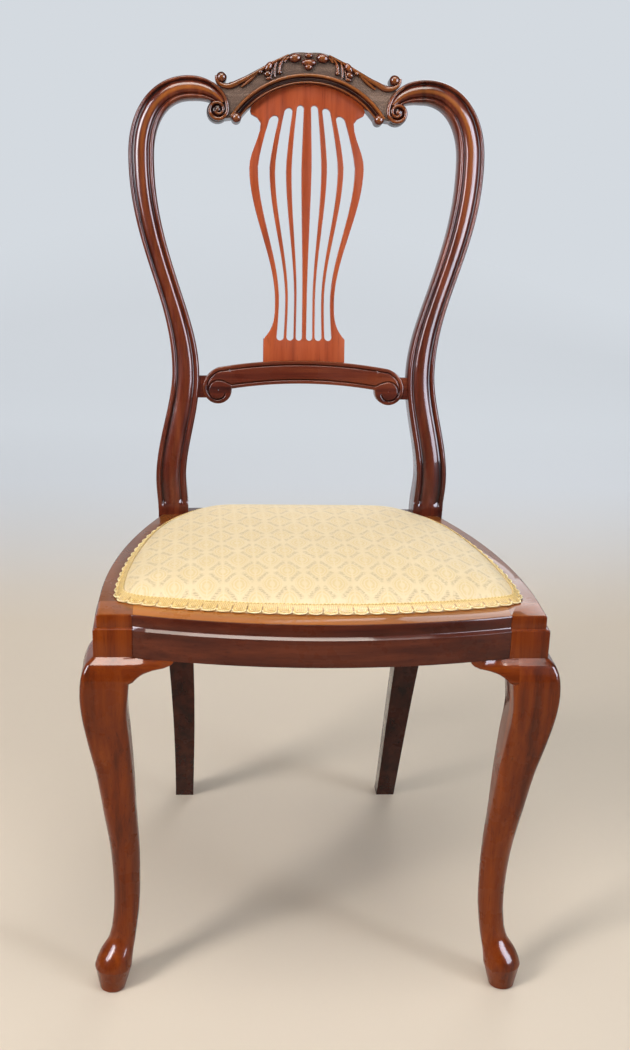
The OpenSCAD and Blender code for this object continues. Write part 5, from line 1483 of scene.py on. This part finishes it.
@dataclass
class Seat:
    """The pad's cover and stuffing, the gimp, and the webbing and hessian below."""

    plan: SeatPlan
    crown_h: float = 30
    cover_t: float = 1.2
    stretch: float = 1.02
    base_z: float = 435.3
    round_n: int = 176
    settle_cap: float = 4
    frames: int = 12
    pad_shares: Rows = ((0, 0.02), (0.009, 0.09), (0.03, 0.21), (0.06, 0.35), (0.1, 0.48), (0.16, 0.6),
                        (0.27, 0.755), (0.45, 0.89), (0.7, 0.98), (1, 1))

    def height(self, share: Floats) -> Array:
        """Returns the pad's height at a share of the way from its edge to its middle."""
        return PLAN.seat_top + self.crown_h * curve(self.pad_shares, share)

    def surface(self, shares: Array, n: int, drop: float, inset: float) -> Array:
        """Returns rings of the crowned surface."""
        a, _ = self.plan.even(n)
        return np.array([self.plan.ring(a, s, inset * (1 - s), float(self.height(s)) - drop) for s in shares])

    def cover(self, finishes: Finishes) -> None:
        """Builds the stuffed cover, crowned and then settled as cloth under pressure."""
        n = self.round_n
        shares = join([[0, 0.004, 0.009, 0.016, 0.024, 0.034, 0.046], span(0.06, 0.97, 40)])
        low = self.plan.ring(self.plan.even(n)[0], 0, 0.3, self.base_z + 0.1)[None]
        rings = join([low, self.surface(shares, n, 0, 0)])
        last = (len(rings) - 1) * n
        verts = join([rings.reshape(-1, 3), [[0, PLAN.seat_d / 2, PLAN.seat_top + self.crown_h]]])
        faces = [(i + j, i + (j + 1) % n, i + n + (j + 1) % n, i + n + j)
                 for i in range(0, last, n) for j in range(n)]
        faces += [(last + j, last + (j + 1) % n, last + n) for j in range(n)]
        obj = Shell().add(verts, faces).build("seat_cover_sheet", [finishes.damask], 180)
        self.settle(obj)
        lay_cloth(obj.data, (verts[:, :2] - [0, PLAN.seat_d / 2]) * MM * self.stretch)
        thick = obj.modifiers.new("cloth", "SOLIDIFY")
        thick.thickness, thick.offset = self.cover_t * MM, -1
        cover = register(finish_mesh(spent(obj), "seat_cover_damask", 60), "cover_fabric", "seat_cover")

    def settle(self, obj: Piece) -> None:
        """Runs the cloth under light pressure, with its edge held and its movement capped."""
        rest = np.array([v.co for v in obj.data.vertices])
        held = obj.vertex_groups.new(name="held")
        for i, weight in enumerate([1.0] * 9 + [0.5] * 2):
            held.add(list(range(i * self.round_n, (i + 1) * self.round_n)), weight, "REPLACE")
        cloth = obj.modifiers.new("settle", "CLOTH")
        values = cloth.settings
        values.vertex_group_mass = held.name
        values.use_pressure, values.uniform_pressure_force = True, 1.2
        values.tension_stiffness, values.bending_stiffness = 25, 6
        values.quality, values.effector_weights.gravity = 4, 0
        scene = bpy.context.scene
        for frame in range(1, self.frames + 1):
            scene.frame_set(frame)
        mesh = plain_copy(obj)
        moved = np.array([v.co for v in mesh.vertices]) - rest
        bpy.data.meshes.remove(mesh)
        obj.modifiers.remove(cloth)
        scene.frame_set(1)
        length = np.linalg.norm(moved, axis=1, keepdims=True)
        moved *= np.minimum(1, self.settle_cap * MM / np.maximum(length, 1e-9))
        move_points(obj.data, rest + moved)
        LOG.info("cover settled by up to %.1f mm", 1000 * float(length.max()))

    def stuffing(self, finishes: Finishes) -> None:
        """Builds the stuffing under the cover."""
        inset = self.cover_t + 0.8
        shares = join([[0, 0.009, 0.03], span(0.07, 0.96, 20)])
        low = self.plan.ring(self.plan.even(120)[0], 0, inset, self.base_z + 1.1)[None]
        shell = Shell().sweep(join([low, self.surface(shares, 120, inset, inset)]))
        obj = register(shell.build("seat_stuffing", [finishes.wadding], 60), "stuffing", "stuffing")

    def build(self, finishes: Finishes) -> None:
        """Builds the seat's soft pieces."""
        self.cover(finishes)
        self.stuffing(finishes)


@dataclass
class Gimp:
    """The braid round the pad: one scallop repeated by geometry nodes, then bent round the pad's edge."""

    plan: SeatPlan
    seat: Seat
    pitch: float = 15.0
    inner: float = 10.4
    outer: float = 3.3
    lift: float = 0.35
    seed: int = 7

    def height(self, a: Array, across: Array) -> Array:
        """Returns the height of what the braid lies on, a little smoothed as the stiff braid does."""
        reach = self.plan.reach(a)
        total = 0.0
        for step in (-1.0, 0.0, 1.0):
            k = across + step
            on_pad = self.seat.height(np.maximum(k, 0) / reach)
            total = total + np.where(k < 0, PLAN.seat_top + 0.2, on_pad)
        return total / 3

    def bend(self, along: Array, across: Array, up: Array, total: float) -> Array:
        """Bends flat braid round the pad.

        Args:
            along: Distances along the braid.
            across: Distances in from the pad's edge.
            up: Heights over its underside.
            total: Length of the edge.

        Returns:
            The points on the drawing.
        """
        fine, run = self.plan.edge_run(5761)
        a = np.interp(along % total, run, fine)
        reach = self.plan.reach(a)
        step = across / 20
        across = np.zeros_like(step)
        for _ in range(20):
            slope = (self.height(a, across + 0.5) - self.height(a, across - 0.5))
            across = across + step / np.sqrt(1 + slope**2)
        rise = (self.height(a, across + 0.8) - self.height(a, across - 0.8)) / 1.6
        lean = rise / np.sqrt(1 + rise**2)
        out = reach + (-across + up * lean)
        z = self.height(a, across) + self.lift + up / np.sqrt(1 + rise**2)
        return stack(out * np.sin(a), PLAN.seat_d / 2 - out * np.cos(a), z)

    def motif(self) -> Shell:
        """Returns one scallop, flat: X along the braid, Y outwards and Z up."""
        half = self.pitch / 2
        low, mid = -self.inner, -2.2
        x = span(-half, half, 17)
        brim = mid + (self.outer - mid) * np.sqrt(np.clip(1 - (x / half) ** 2 * 0.985, 0, 1))
        rings, tones = [], []
        for t in span(0, 1, 12):
            y = low + (brim - low) * t
            comb = 1 - ease((t - 0.42) / 0.12)
            ridge = np.cos(2 * math.pi * x / (self.pitch / 8))
            dome = math.sin(math.pi * min(1, t * 1.06)) ** 0.5 if t < 0.94 else 0.25
            hollow = math.exp(-(((t - 0.62) / 0.1) ** 2)) * np.exp(-((x / (half * 0.45)) ** 2))
            z = 0.25 + 0.8 * dome + 0.16 * ridge * comb - 0.45 * hollow
            top = stack(x, y, z)
            rings.append(join([top, (top * [1, 1, 0])[::-1]]))
            # The tone paints shade into the hollow and the gaps between scallops, and a highlight on the
            # raised ribs.
            quirk = 0.9 * (np.abs(x) > half * 0.9) * (t > 0.5)
            tone = -0.1 + 0.35 * ridge * (0.4 + 0.6 * comb) - 0.3 * hollow - quirk
            tones.append(join([tone, tone[::-1]]))
        shell = Shell().sweep(rings, tones)
        up = np.array([0.0, 0, 1])

        def arc(first: float, last: float, wide: float, deep: float, base: float, n: int) -> Array:
            """Returns an elliptic arc on the braid's face."""
            a = angles(first, last, n)
            return stack(wide * np.cos(a), base + deep * np.sin(a), 0.95)

        lip = arc(176, 4, half * 0.93, self.outer - mid - 0.5, mid, 15)
        fat = 0.45 + 0.5 * np.sin(span(0, math.pi, 15)) ** 0.6
        shell.tube(lip, up, fat, 0.75, 1.0)
        loop = arc(200, -20, half * 0.58, 2.3, mid - 0.6, 13)
        shell.tube(loop, up, 0.6, 0.7, 0.45, 6)
        seam = stack(x, low + 0.9, 0.75)
        beads = 0.5 * np.cos(2 * math.pi * x / (self.pitch / 4))
        shell.tube(seam, up, 0.75 + 0.2 * beads, 0.65, 0.2 + beads, 6)
        return shell

    def build(self, finishes: Finishes, repeater: Repeater) -> None:
        """Builds the gimp."""
        _, total = self.plan.even(8)
        count = round(total / self.pitch)
        points = stack((np.arange(count) + 0.5) * (total / count) * MM, 0, 0)
        motif = self.motif().build("scallop", [finishes.gimp], 50, loose=True)
        mesh = repeater.run(motif, points, np.zeros((count, 3)), finishes.gimp, 0.03, self.seed)
        flat = np.empty(len(mesh.vertices) * 3, np.float32)
        mesh.vertices.foreach_get("co", flat)
        flat = flat.reshape(-1, 3) / MM
        bent = self.bend(flat[:, 0], -flat[:, 1], flat[:, 2], total)
        move_points(mesh, (bent - [0, PLAN.mid_y, 0]) * MM)
        lay_cloth(mesh, flat[:, :2] * MM)
        register(finish_mesh(mesh, "gimp_braid_scalloped", 50), "gimp", "gimp_braid")


@dataclass
class Webbing:
    """Jute straps woven under the pad, and the hessian stretched over them."""

    plan: SeatPlan
    web_w: float = 50
    web_t: float = 1.3
    gap: float = 0.1
    soft_gap: float = 0.3
    along_shares: tuple[float, ...] = (-0.17, 0, 0.17)
    across_shares: tuple[float, ...] = (0.23, 0.47, 0.71)
    strap_gap: float = 2.5
    wave_share: float = 0.4
    steps: int = 70
    hessian_t: float = 0.8
    inset: float = 1.8

    def rise(self, at: Array, crossings: Sequence[float], up: int) -> Array:
        """Returns a strap's rise and fall over the straps that it crosses."""
        total = np.zeros_like(at)
        for k, middle in enumerate(crossings):
            near = (np.abs(at - middle) - self.web_w / 2) / (self.web_w * self.wave_share)
            total += (1 if k % 2 == 0 else -1) * (1 - ease(near))
        return (self.web_t + self.gap) / 2 * up * total

    def strap(self, shell: Shell, at: Array, z: Array, middle: float, along: bool) -> None:
        """Adds a strap at places along it, with its heights, its middle across and its direction."""
        share = np.array([0.7, 0.74, 0.8, 0.84, 0.97, 1])
        wide = self.web_w / 2 * join([-share[::-1], [0], share])
        tone = np.array([0, 0, 0, -1, -1, 0, 0, 0, -1, -1, 0, 0, 0.0])
        thick = self.web_t / 2 * np.minimum(1, (1 - np.abs(wide) / (self.web_w / 2)) * 12 + 0.35)
        u = join([wide, wide[::-1]]) + middle
        rings = []
        for s, h in zip(at, z):
            v = join([h + thick, h - thick[::-1]])
            rings.append(stack(u, s, v) if along else stack(s, u, v))
        shell.sweep(rings, join([tone, tone[::-1]]))

    def straps(self, finishes: Finishes) -> None:
        """Builds the six straps, three each way, each over one and under the next."""
        plan, half = self.plan, self.web_w / 2
        (front_r, front_c), (side_r, side_c) = plan.pad_arcs(self.strap_gap)
        xs = [k * PLAN.seat_w for k in self.along_shares]
        ys = [k * PLAN.seat_d for k in self.across_shares]
        z = plan.floor_z + self.soft_gap / 2 + self.web_t / 2 + (self.web_t + self.gap) / 2
        end = PLAN.seat_d + plan.back_rail_in + plan.back_rail_t - plan.back_border_w - self.strap_gap
        long = [(front_c - math.sqrt(front_r**2 - (abs(x) + half) ** 2), end) for x in xs]
        wide = [side_c + math.sqrt(side_r**2 - (y + half - plan.block_w) ** 2) for y in ys]
        wide = [(-reach, reach) for reach in wide]
        for word, places, crossed, ends, up in (("length", xs, ys, long, 1), ("cross", ys, xs, wide, -1)):
            shell = Shell()
            for i, (middle, (first, last)) in enumerate(zip(places, ends)):
                at = span(first, last, self.steps)
                self.strap(shell, at, z + self.rise(at, crossed, up * (-1) ** i), middle, word == "length")
            piece = shell.build(f"webbing_{word}wise_woven", [finishes.webbing], 30)
            register(piece, "webbing", f"webbing_{word}wise")

    def hessian(self, finishes: Finishes) -> None:
        """Builds the hessian, a thin sheet stretched flat over the straps."""
        a, _ = self.plan.even(160)
        z = self.plan.floor_z + self.soft_gap / 2 + 2 * (self.web_t + self.gap)
        shares = [*span(0.985, 0.02, 16), 0.0]
        rows = [(z + self.hessian_t, s) for s in shares] + [(z, s) for s in shares[::-1]]
        shell = Shell().sweep([self.plan.ring(a, s, self.inset, h) for h, s in rows])
        obj = register(shell.build("hessian_sheet", [finishes.hessian], 60), "hessian", "hessian")
        edge = self.plan.ring(a, 0, self.inset, 0)[:, :2] * MM

    def build(self, finishes: Finishes) -> None:
        """Builds the straps and the hessian."""
        self.straps(finishes)
        self.hessian(finishes)


@dataclass
class Screws:
    """The eight slotted screws of the corner braces, repeated by geometry nodes."""

    plan: SeatPlan
    screw_d: float = 4
    screw_l: float = 34
    head_d: float = 8
    head_h: float = 3
    slot_w: float = 1.1
    bite: float = 10
    front_t: float = 38
    brace_l: float = 62
    brace_h: float = 26
    brace_gap: float = 5
    shares: tuple[float, float, float, float] = (0.42, 0.5, 0.62, 0.42)

    def places(self) -> list[Triple]:
        """Returns the right half's screws: x, y and direction in degrees."""
        (front_r, front_c), (side_r, side_c) = self.plan.front_arc, self.plan.side_arc
        out = self.screw_l / 2 - self.bite
        inner = PLAN.half_w - self.plan.block_w

        def side(y: float) -> float:
            """Returns the side rail's inner face at y."""
            return side_c + math.sqrt((side_r - self.plan.rail_t) ** 2 - (y - self.plan.block_w) ** 2)

        x = inner - self.brace_l * self.shares[0]
        front = front_c - math.sqrt((front_r - self.front_t) ** 2 - x * x) + out
        y1 = self.plan.block_w + self.brace_l * self.shares[1]
        y2 = PLAN.seat_d - self.brace_l * self.shares[2]
        back = PLAN.seat_d + self.plan.back_rail_in - out
        return [(x, front, -90), (side(y1) - out, y1, 0), (side(y2) - out, y2, 0),
                (self.plan.base_in - self.brace_l * self.shares[3], back, 90)]

    def motif(self) -> Shell:
        """Returns one screw along Z, its head at the lower end."""
        end, r, head = self.screw_l / 2, self.screw_d / 2, self.head_d / 2
        body = [(1, 0.02), (1, head - 0.3), (1.5, head), (self.head_h, head), (self.head_h, r),
                (self.screw_l - 3, r), (self.screw_l, 0.3)]
        cut = math.degrees(math.asin(self.slot_w / self.head_d))
        cheek = [(1.4, head - 0.1), (0.4, head - 0.2), (0.05, head - 0.9)]
        shell = Shell()
        for rows, a in ((body, circle(24)), (cheek, angles(cut, 180 - cut, 13)),
                        (cheek, angles(cut + 180, 360 - cut, 13))):
            shell.sweep([stack(k * np.cos(a), k * np.sin(a), z - end) for z, k in rows])
        return shell

    def build(self, finishes: Finishes, repeater: Repeater) -> None:
        """Builds the screws."""
        z = self.plan.floor_z - self.brace_gap - self.brace_h / 2
        points, turns = [], []
        for x, y, turn in self.places():
            for side in (1, -1):
                points.append(((side * x) * MM, (y - PLAN.mid_y) * MM, z * MM))
                turns.append((0, math.pi / 2, math.radians(turn if side == 1 else 180 - turn)))
        motif = self.motif().build("screw", [finishes.steel], 40, loose=True)
        mesh = repeater.run(motif, np.array(points), np.array(turns), finishes.steel)
        register(finish_mesh(mesh, "brace_screws_slotted", 40), "screw_steel", "brace_screws")


@dataclass
class Joinery:
    """Pieces whose solids are right as they are: each is dressed, and show edges are eased."""

    nodes: dict[str, Piece]
    finishes: Finishes

    def dress(self, node: str, material: Material) -> None:
        """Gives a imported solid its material."""
        mesh = self.nodes[node].data
        mesh.materials.clear()
        mesh.materials.append(material)

    def eased(self, node: str, material: Material, slot: str = "show_wood", width: float = 0.7,
              wear_and_highlight: float = 0.0) -> None:
        """Stands a copy with eased arrises in for a solid, lighter at the seat frame's top with rubbed wear
        and painted highlight.
        """
        mesh = self.nodes[node].data.copy()
        work = bmesh.new()
        work.from_mesh(mesh)
        bmesh.ops.remove_doubles(work, verts=work.verts, dist=1e-6)
        bmesh.ops.dissolve_limit(work, angle_limit=math.radians(0.4), verts=work.verts, edges=work.edges)
        work.to_mesh(mesh)
        work.free()
        mesh.materials.clear()
        mesh.materials.append(material)
        obj = link_new(f"{node}_blank", mesh)
        bevel = obj.modifiers.new("arris", "BEVEL")
        bevel.width, bevel.segments, bevel.angle_limit = width * MM, 3, math.radians(35)
        bevel.limit_method, bevel.use_clamp_overlap = "ANGLE", True
        made = spent(obj)
        top_wear_and_highlight(made, wear_and_highlight)
        register(finish_mesh(made, f"{node}_eased", 30), slot, node)

    def build(self) -> None:
        """Dresses the rails, the splat, the dowels and the braces."""
        f = self.finishes
        # The rails' tops get a lighter tone: rubbed wear and painted highlight of the light from above.
        self.eased("front_rail", f.rail_across, wear_and_highlight=1.7)
        self.eased("side_rail_left", f.rail_deep, wear_and_highlight=0.7)
        self.eased("side_rail_right", f.rail_deep, wear_and_highlight=0.7)
        self.eased("back_rail", f.rail_across)
        self.eased("splat", f.splat, "splat_wood", 0.5)
        for node in self.nodes:
            if "dowels" in node:
                self.dress(node, f.dowel)
            elif node.startswith("brace_") and node != "brace_screws":
                self.dress(node, f.brace)


@dataclass(frozen=True)
class Studio:
    """Camera, floor and lights."""

    camera: Triple = (-130.67, -1273.96, 970.58)
    focal_px: float = 1411.75
    yaw: float = -0.04578
    pitch: float = 0.33075
    roll: float = 0.02125
    centre_px: float = 251.89
    image_px: tuple[int, int] = (630, 1050)

    def shoot(self) -> None:
        """Sets up the camera at the photo's viewpoint."""
        data = bpy.data.cameras.new("camera")
        data.sensor_width = 36
        data.lens = self.focal_px / self.image_px[1] * data.sensor_width
        data.shift_x = (self.image_px[0] / 2 - self.centre_px) / self.image_px[1]
        cam = link_new("camera", data)
        ahead = Vector((-math.sin(self.yaw), math.cos(self.yaw), 0))
        right = Vector((math.cos(self.yaw), math.sin(self.yaw), 0))
        forward = ahead * math.cos(self.pitch) - Vector((0, 0, math.sin(self.pitch)))
        up = ahead * math.sin(self.pitch) + Vector((0, 0, math.cos(self.pitch)))
        c, s = math.cos(self.roll), math.sin(self.roll)
        axes = Matrix((right * c + up * s, up * c - right * s, -forward)).transposed()
        place = Vector(self.camera) - Vector((0, PLAN.mid_y, 0))
        cam.matrix_world = Matrix.Translation(place * MM) @ axes.to_4x4()
        bpy.context.scene.camera = cam

    def backdrop(self) -> None:
        """Adds the pale floor, which rises to a pale wall well behind the chair."""
        width, front, back, top, bend = 6.0, -4.0, 3.4, 4.0, 0.8
        turn = angles(0, 90, 17)
        curved = [(back - bend + bend * math.sin(a), bend - bend * math.cos(a)) for a in turn]
        line = [(front, 0.0), *curved, (back, top)]
        verts = [(x, y, z) for y, z in line for x in (-width, width)]
        faces = [(2 * i, 2 * i + 1, 2 * i + 3, 2 * i + 2) for i in range(len(line) - 1)]
        mesh = bpy.data.meshes.new("studio_floor")
        mesh.from_pydata(verts, [], faces)
        for face in mesh.polygons:
            face.use_smooth = True
        material, nodes, shader = new_material("pale_floor", (0.8, 0.78, 0.75))
        place = nodes.place()
        axes = nodes.axes(place)
        behind = nodes.math("MAXIMUM", nodes.math("SUBTRACT", axes[1], 0.8), 0.0)
        height = nodes.times_plus(behind, 0.5, axes[2])
        rise = nodes.ramp(nodes.times(height, 1.2), [(0.0, (0.68, 0.59, 0.48)), (0.5, (0.7, 0.72, 0.75))])
        speck = nodes.blend(nodes.times(nodes.noise(place, 900, 2, 0.5), 0.08), rise, (0.5, 0.45, 0.38))
        nodes.fill(shader, {"Base Color": speck, "Roughness": 0.95, "Specular IOR Level": 0.1})
        wall = nodes.ramp(nodes.times(height, 0.45), [(0.04, 0.0), (0.3, 1.0)])
        light = nodes.add("ShaderNodeLightPath").outputs
        mirrored = nodes.math("MAXIMUM", light["Is Glossy Ray"], light["Is Transmission Ray"])
        seen = nodes.math("MAXIMUM", light["Is Camera Ray"], mirrored)
        glow = nodes.add("ShaderNodeEmission", {"Color": (0.66, 0.7, 0.745, 1), "Strength": 1.0}).outputs[0]
        away = nodes.add("ShaderNodeVectorMath", {0: place}, operation="LENGTH").outputs["Value"]
        away = nodes.times(nodes.times_plus(away, 0.6, -1.0, clamp=True), light["Is Camera Ray"])
        bright = nodes.math("MAXIMUM", nodes.times(seen, nodes.times(wall, 0.85)), away)
        blend = nodes.add("ShaderNodeMixShader", {0: bright, 1: shader.outputs[0], 2: glow}).outputs[0]
        nodes.fill(nodes.tree.nodes["Material Output"], {"Surface": blend})
        mesh.materials.append(material)
        link_new("studio_floor", mesh)

    def lamp(self, name: str, place: Sequence[float], size: Pair, power: float, colour: Sequence[float],
             gloss_only: bool = False) -> None:
        """Adds a soft box that faces the chair, or with gloss_only a card seen only in the polish."""
        data = bpy.data.lights.new(name, "AREA")
        data.shape, data.size, data.size_y = "RECTANGLE", *size
        data.energy, data.color = power, colour
        obj = link_new(name, data)
        obj.location = place
        obj.rotation_mode = "QUATERNION"
        obj.rotation_quaternion = (Vector((0, 0, 0.5)) - Vector(place)).to_track_quat("-Z", "Y")
        obj.visible_diffuse = not gloss_only

    def light(self) -> None:
        """Adds the soft boxes and the pale surround."""
        self.lamp("window", (1.9, -1.4, 1.6), (0.5, 1.6), 19, (0.86, 0.92, 1.0))
        self.lamp("lantern", (-1.9, -1.6, 2.0), (0.7, 1.3), 62, (1.0, 0.96, 0.93))
        self.lamp("ceiling", (0.1, -0.7, 3.0), (1.8, 1.2), 35, (1.0, 0.98, 0.95))
        self.lamp("right_card", (1.85, -1.5, 1.4), (1.5, 1.8), 225, (0.8, 0.84, 1.0), True)
        self.lamp("left_card", (-1.9, -1.1, 1.8), (0.9, 1.8), 130, (0.84, 0.87, 1.0), True)
        self.lamp("top_card", (-0.2, -0.9, 2.9), (1.7, 1.0), 95, (1.0, 0.93, 0.82), True)
        self.lamp("rear_fill", (0.9, 2.3, 1.9), (1.5, 1.5), 22, (0.95, 0.97, 1.0))
        world = bpy.data.worlds.new("surround")
        world.use_nodes = True
        nodes = Nodes(world.node_tree)
        direct = nodes.add("ShaderNodeLightPath").outputs["Is Camera Ray"]
        strength = nodes.times_plus(direct, 0.55, 0.2)
        nodes.fill(world.node_tree.nodes["Background"], {"Color": (0.86, 0.9, 0.96, 1), "Strength": strength})
        scene = bpy.context.scene
        scene.world = world
        scene.view_settings.view_transform = "Standard"

    def build(self) -> None:
        """Sets up the whole studio."""
        self.shoot()
        self.backdrop()
        self.light()


def main(frame: dict) -> None:
    Studio().build()
    finishes = Finishes()
    post = Upright()
    post.build(finishes)
    Crest(post).build(finishes)
    plan = SeatPlan()
    recess = plan.recess()
    leg = FrontLeg()
    leg.build(finishes, recess)
    leg.brackets(plan, finishes)
    bpy.data.objects.remove(recess)
    MidRail().build(finishes)
    seat = Seat(plan)
    seat.build(finishes)
    repeater = Repeater()
    Gimp(plan, seat).build(finishes, repeater)
    Webbing(plan).build(finishes)
    Screws(plan).build(finishes, repeater)
    Joinery(frame["nodes"], finishes).build()


if __name__ == "__main__":
    logging.basicConfig(level=logging.INFO)
    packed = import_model()
    main(packed)
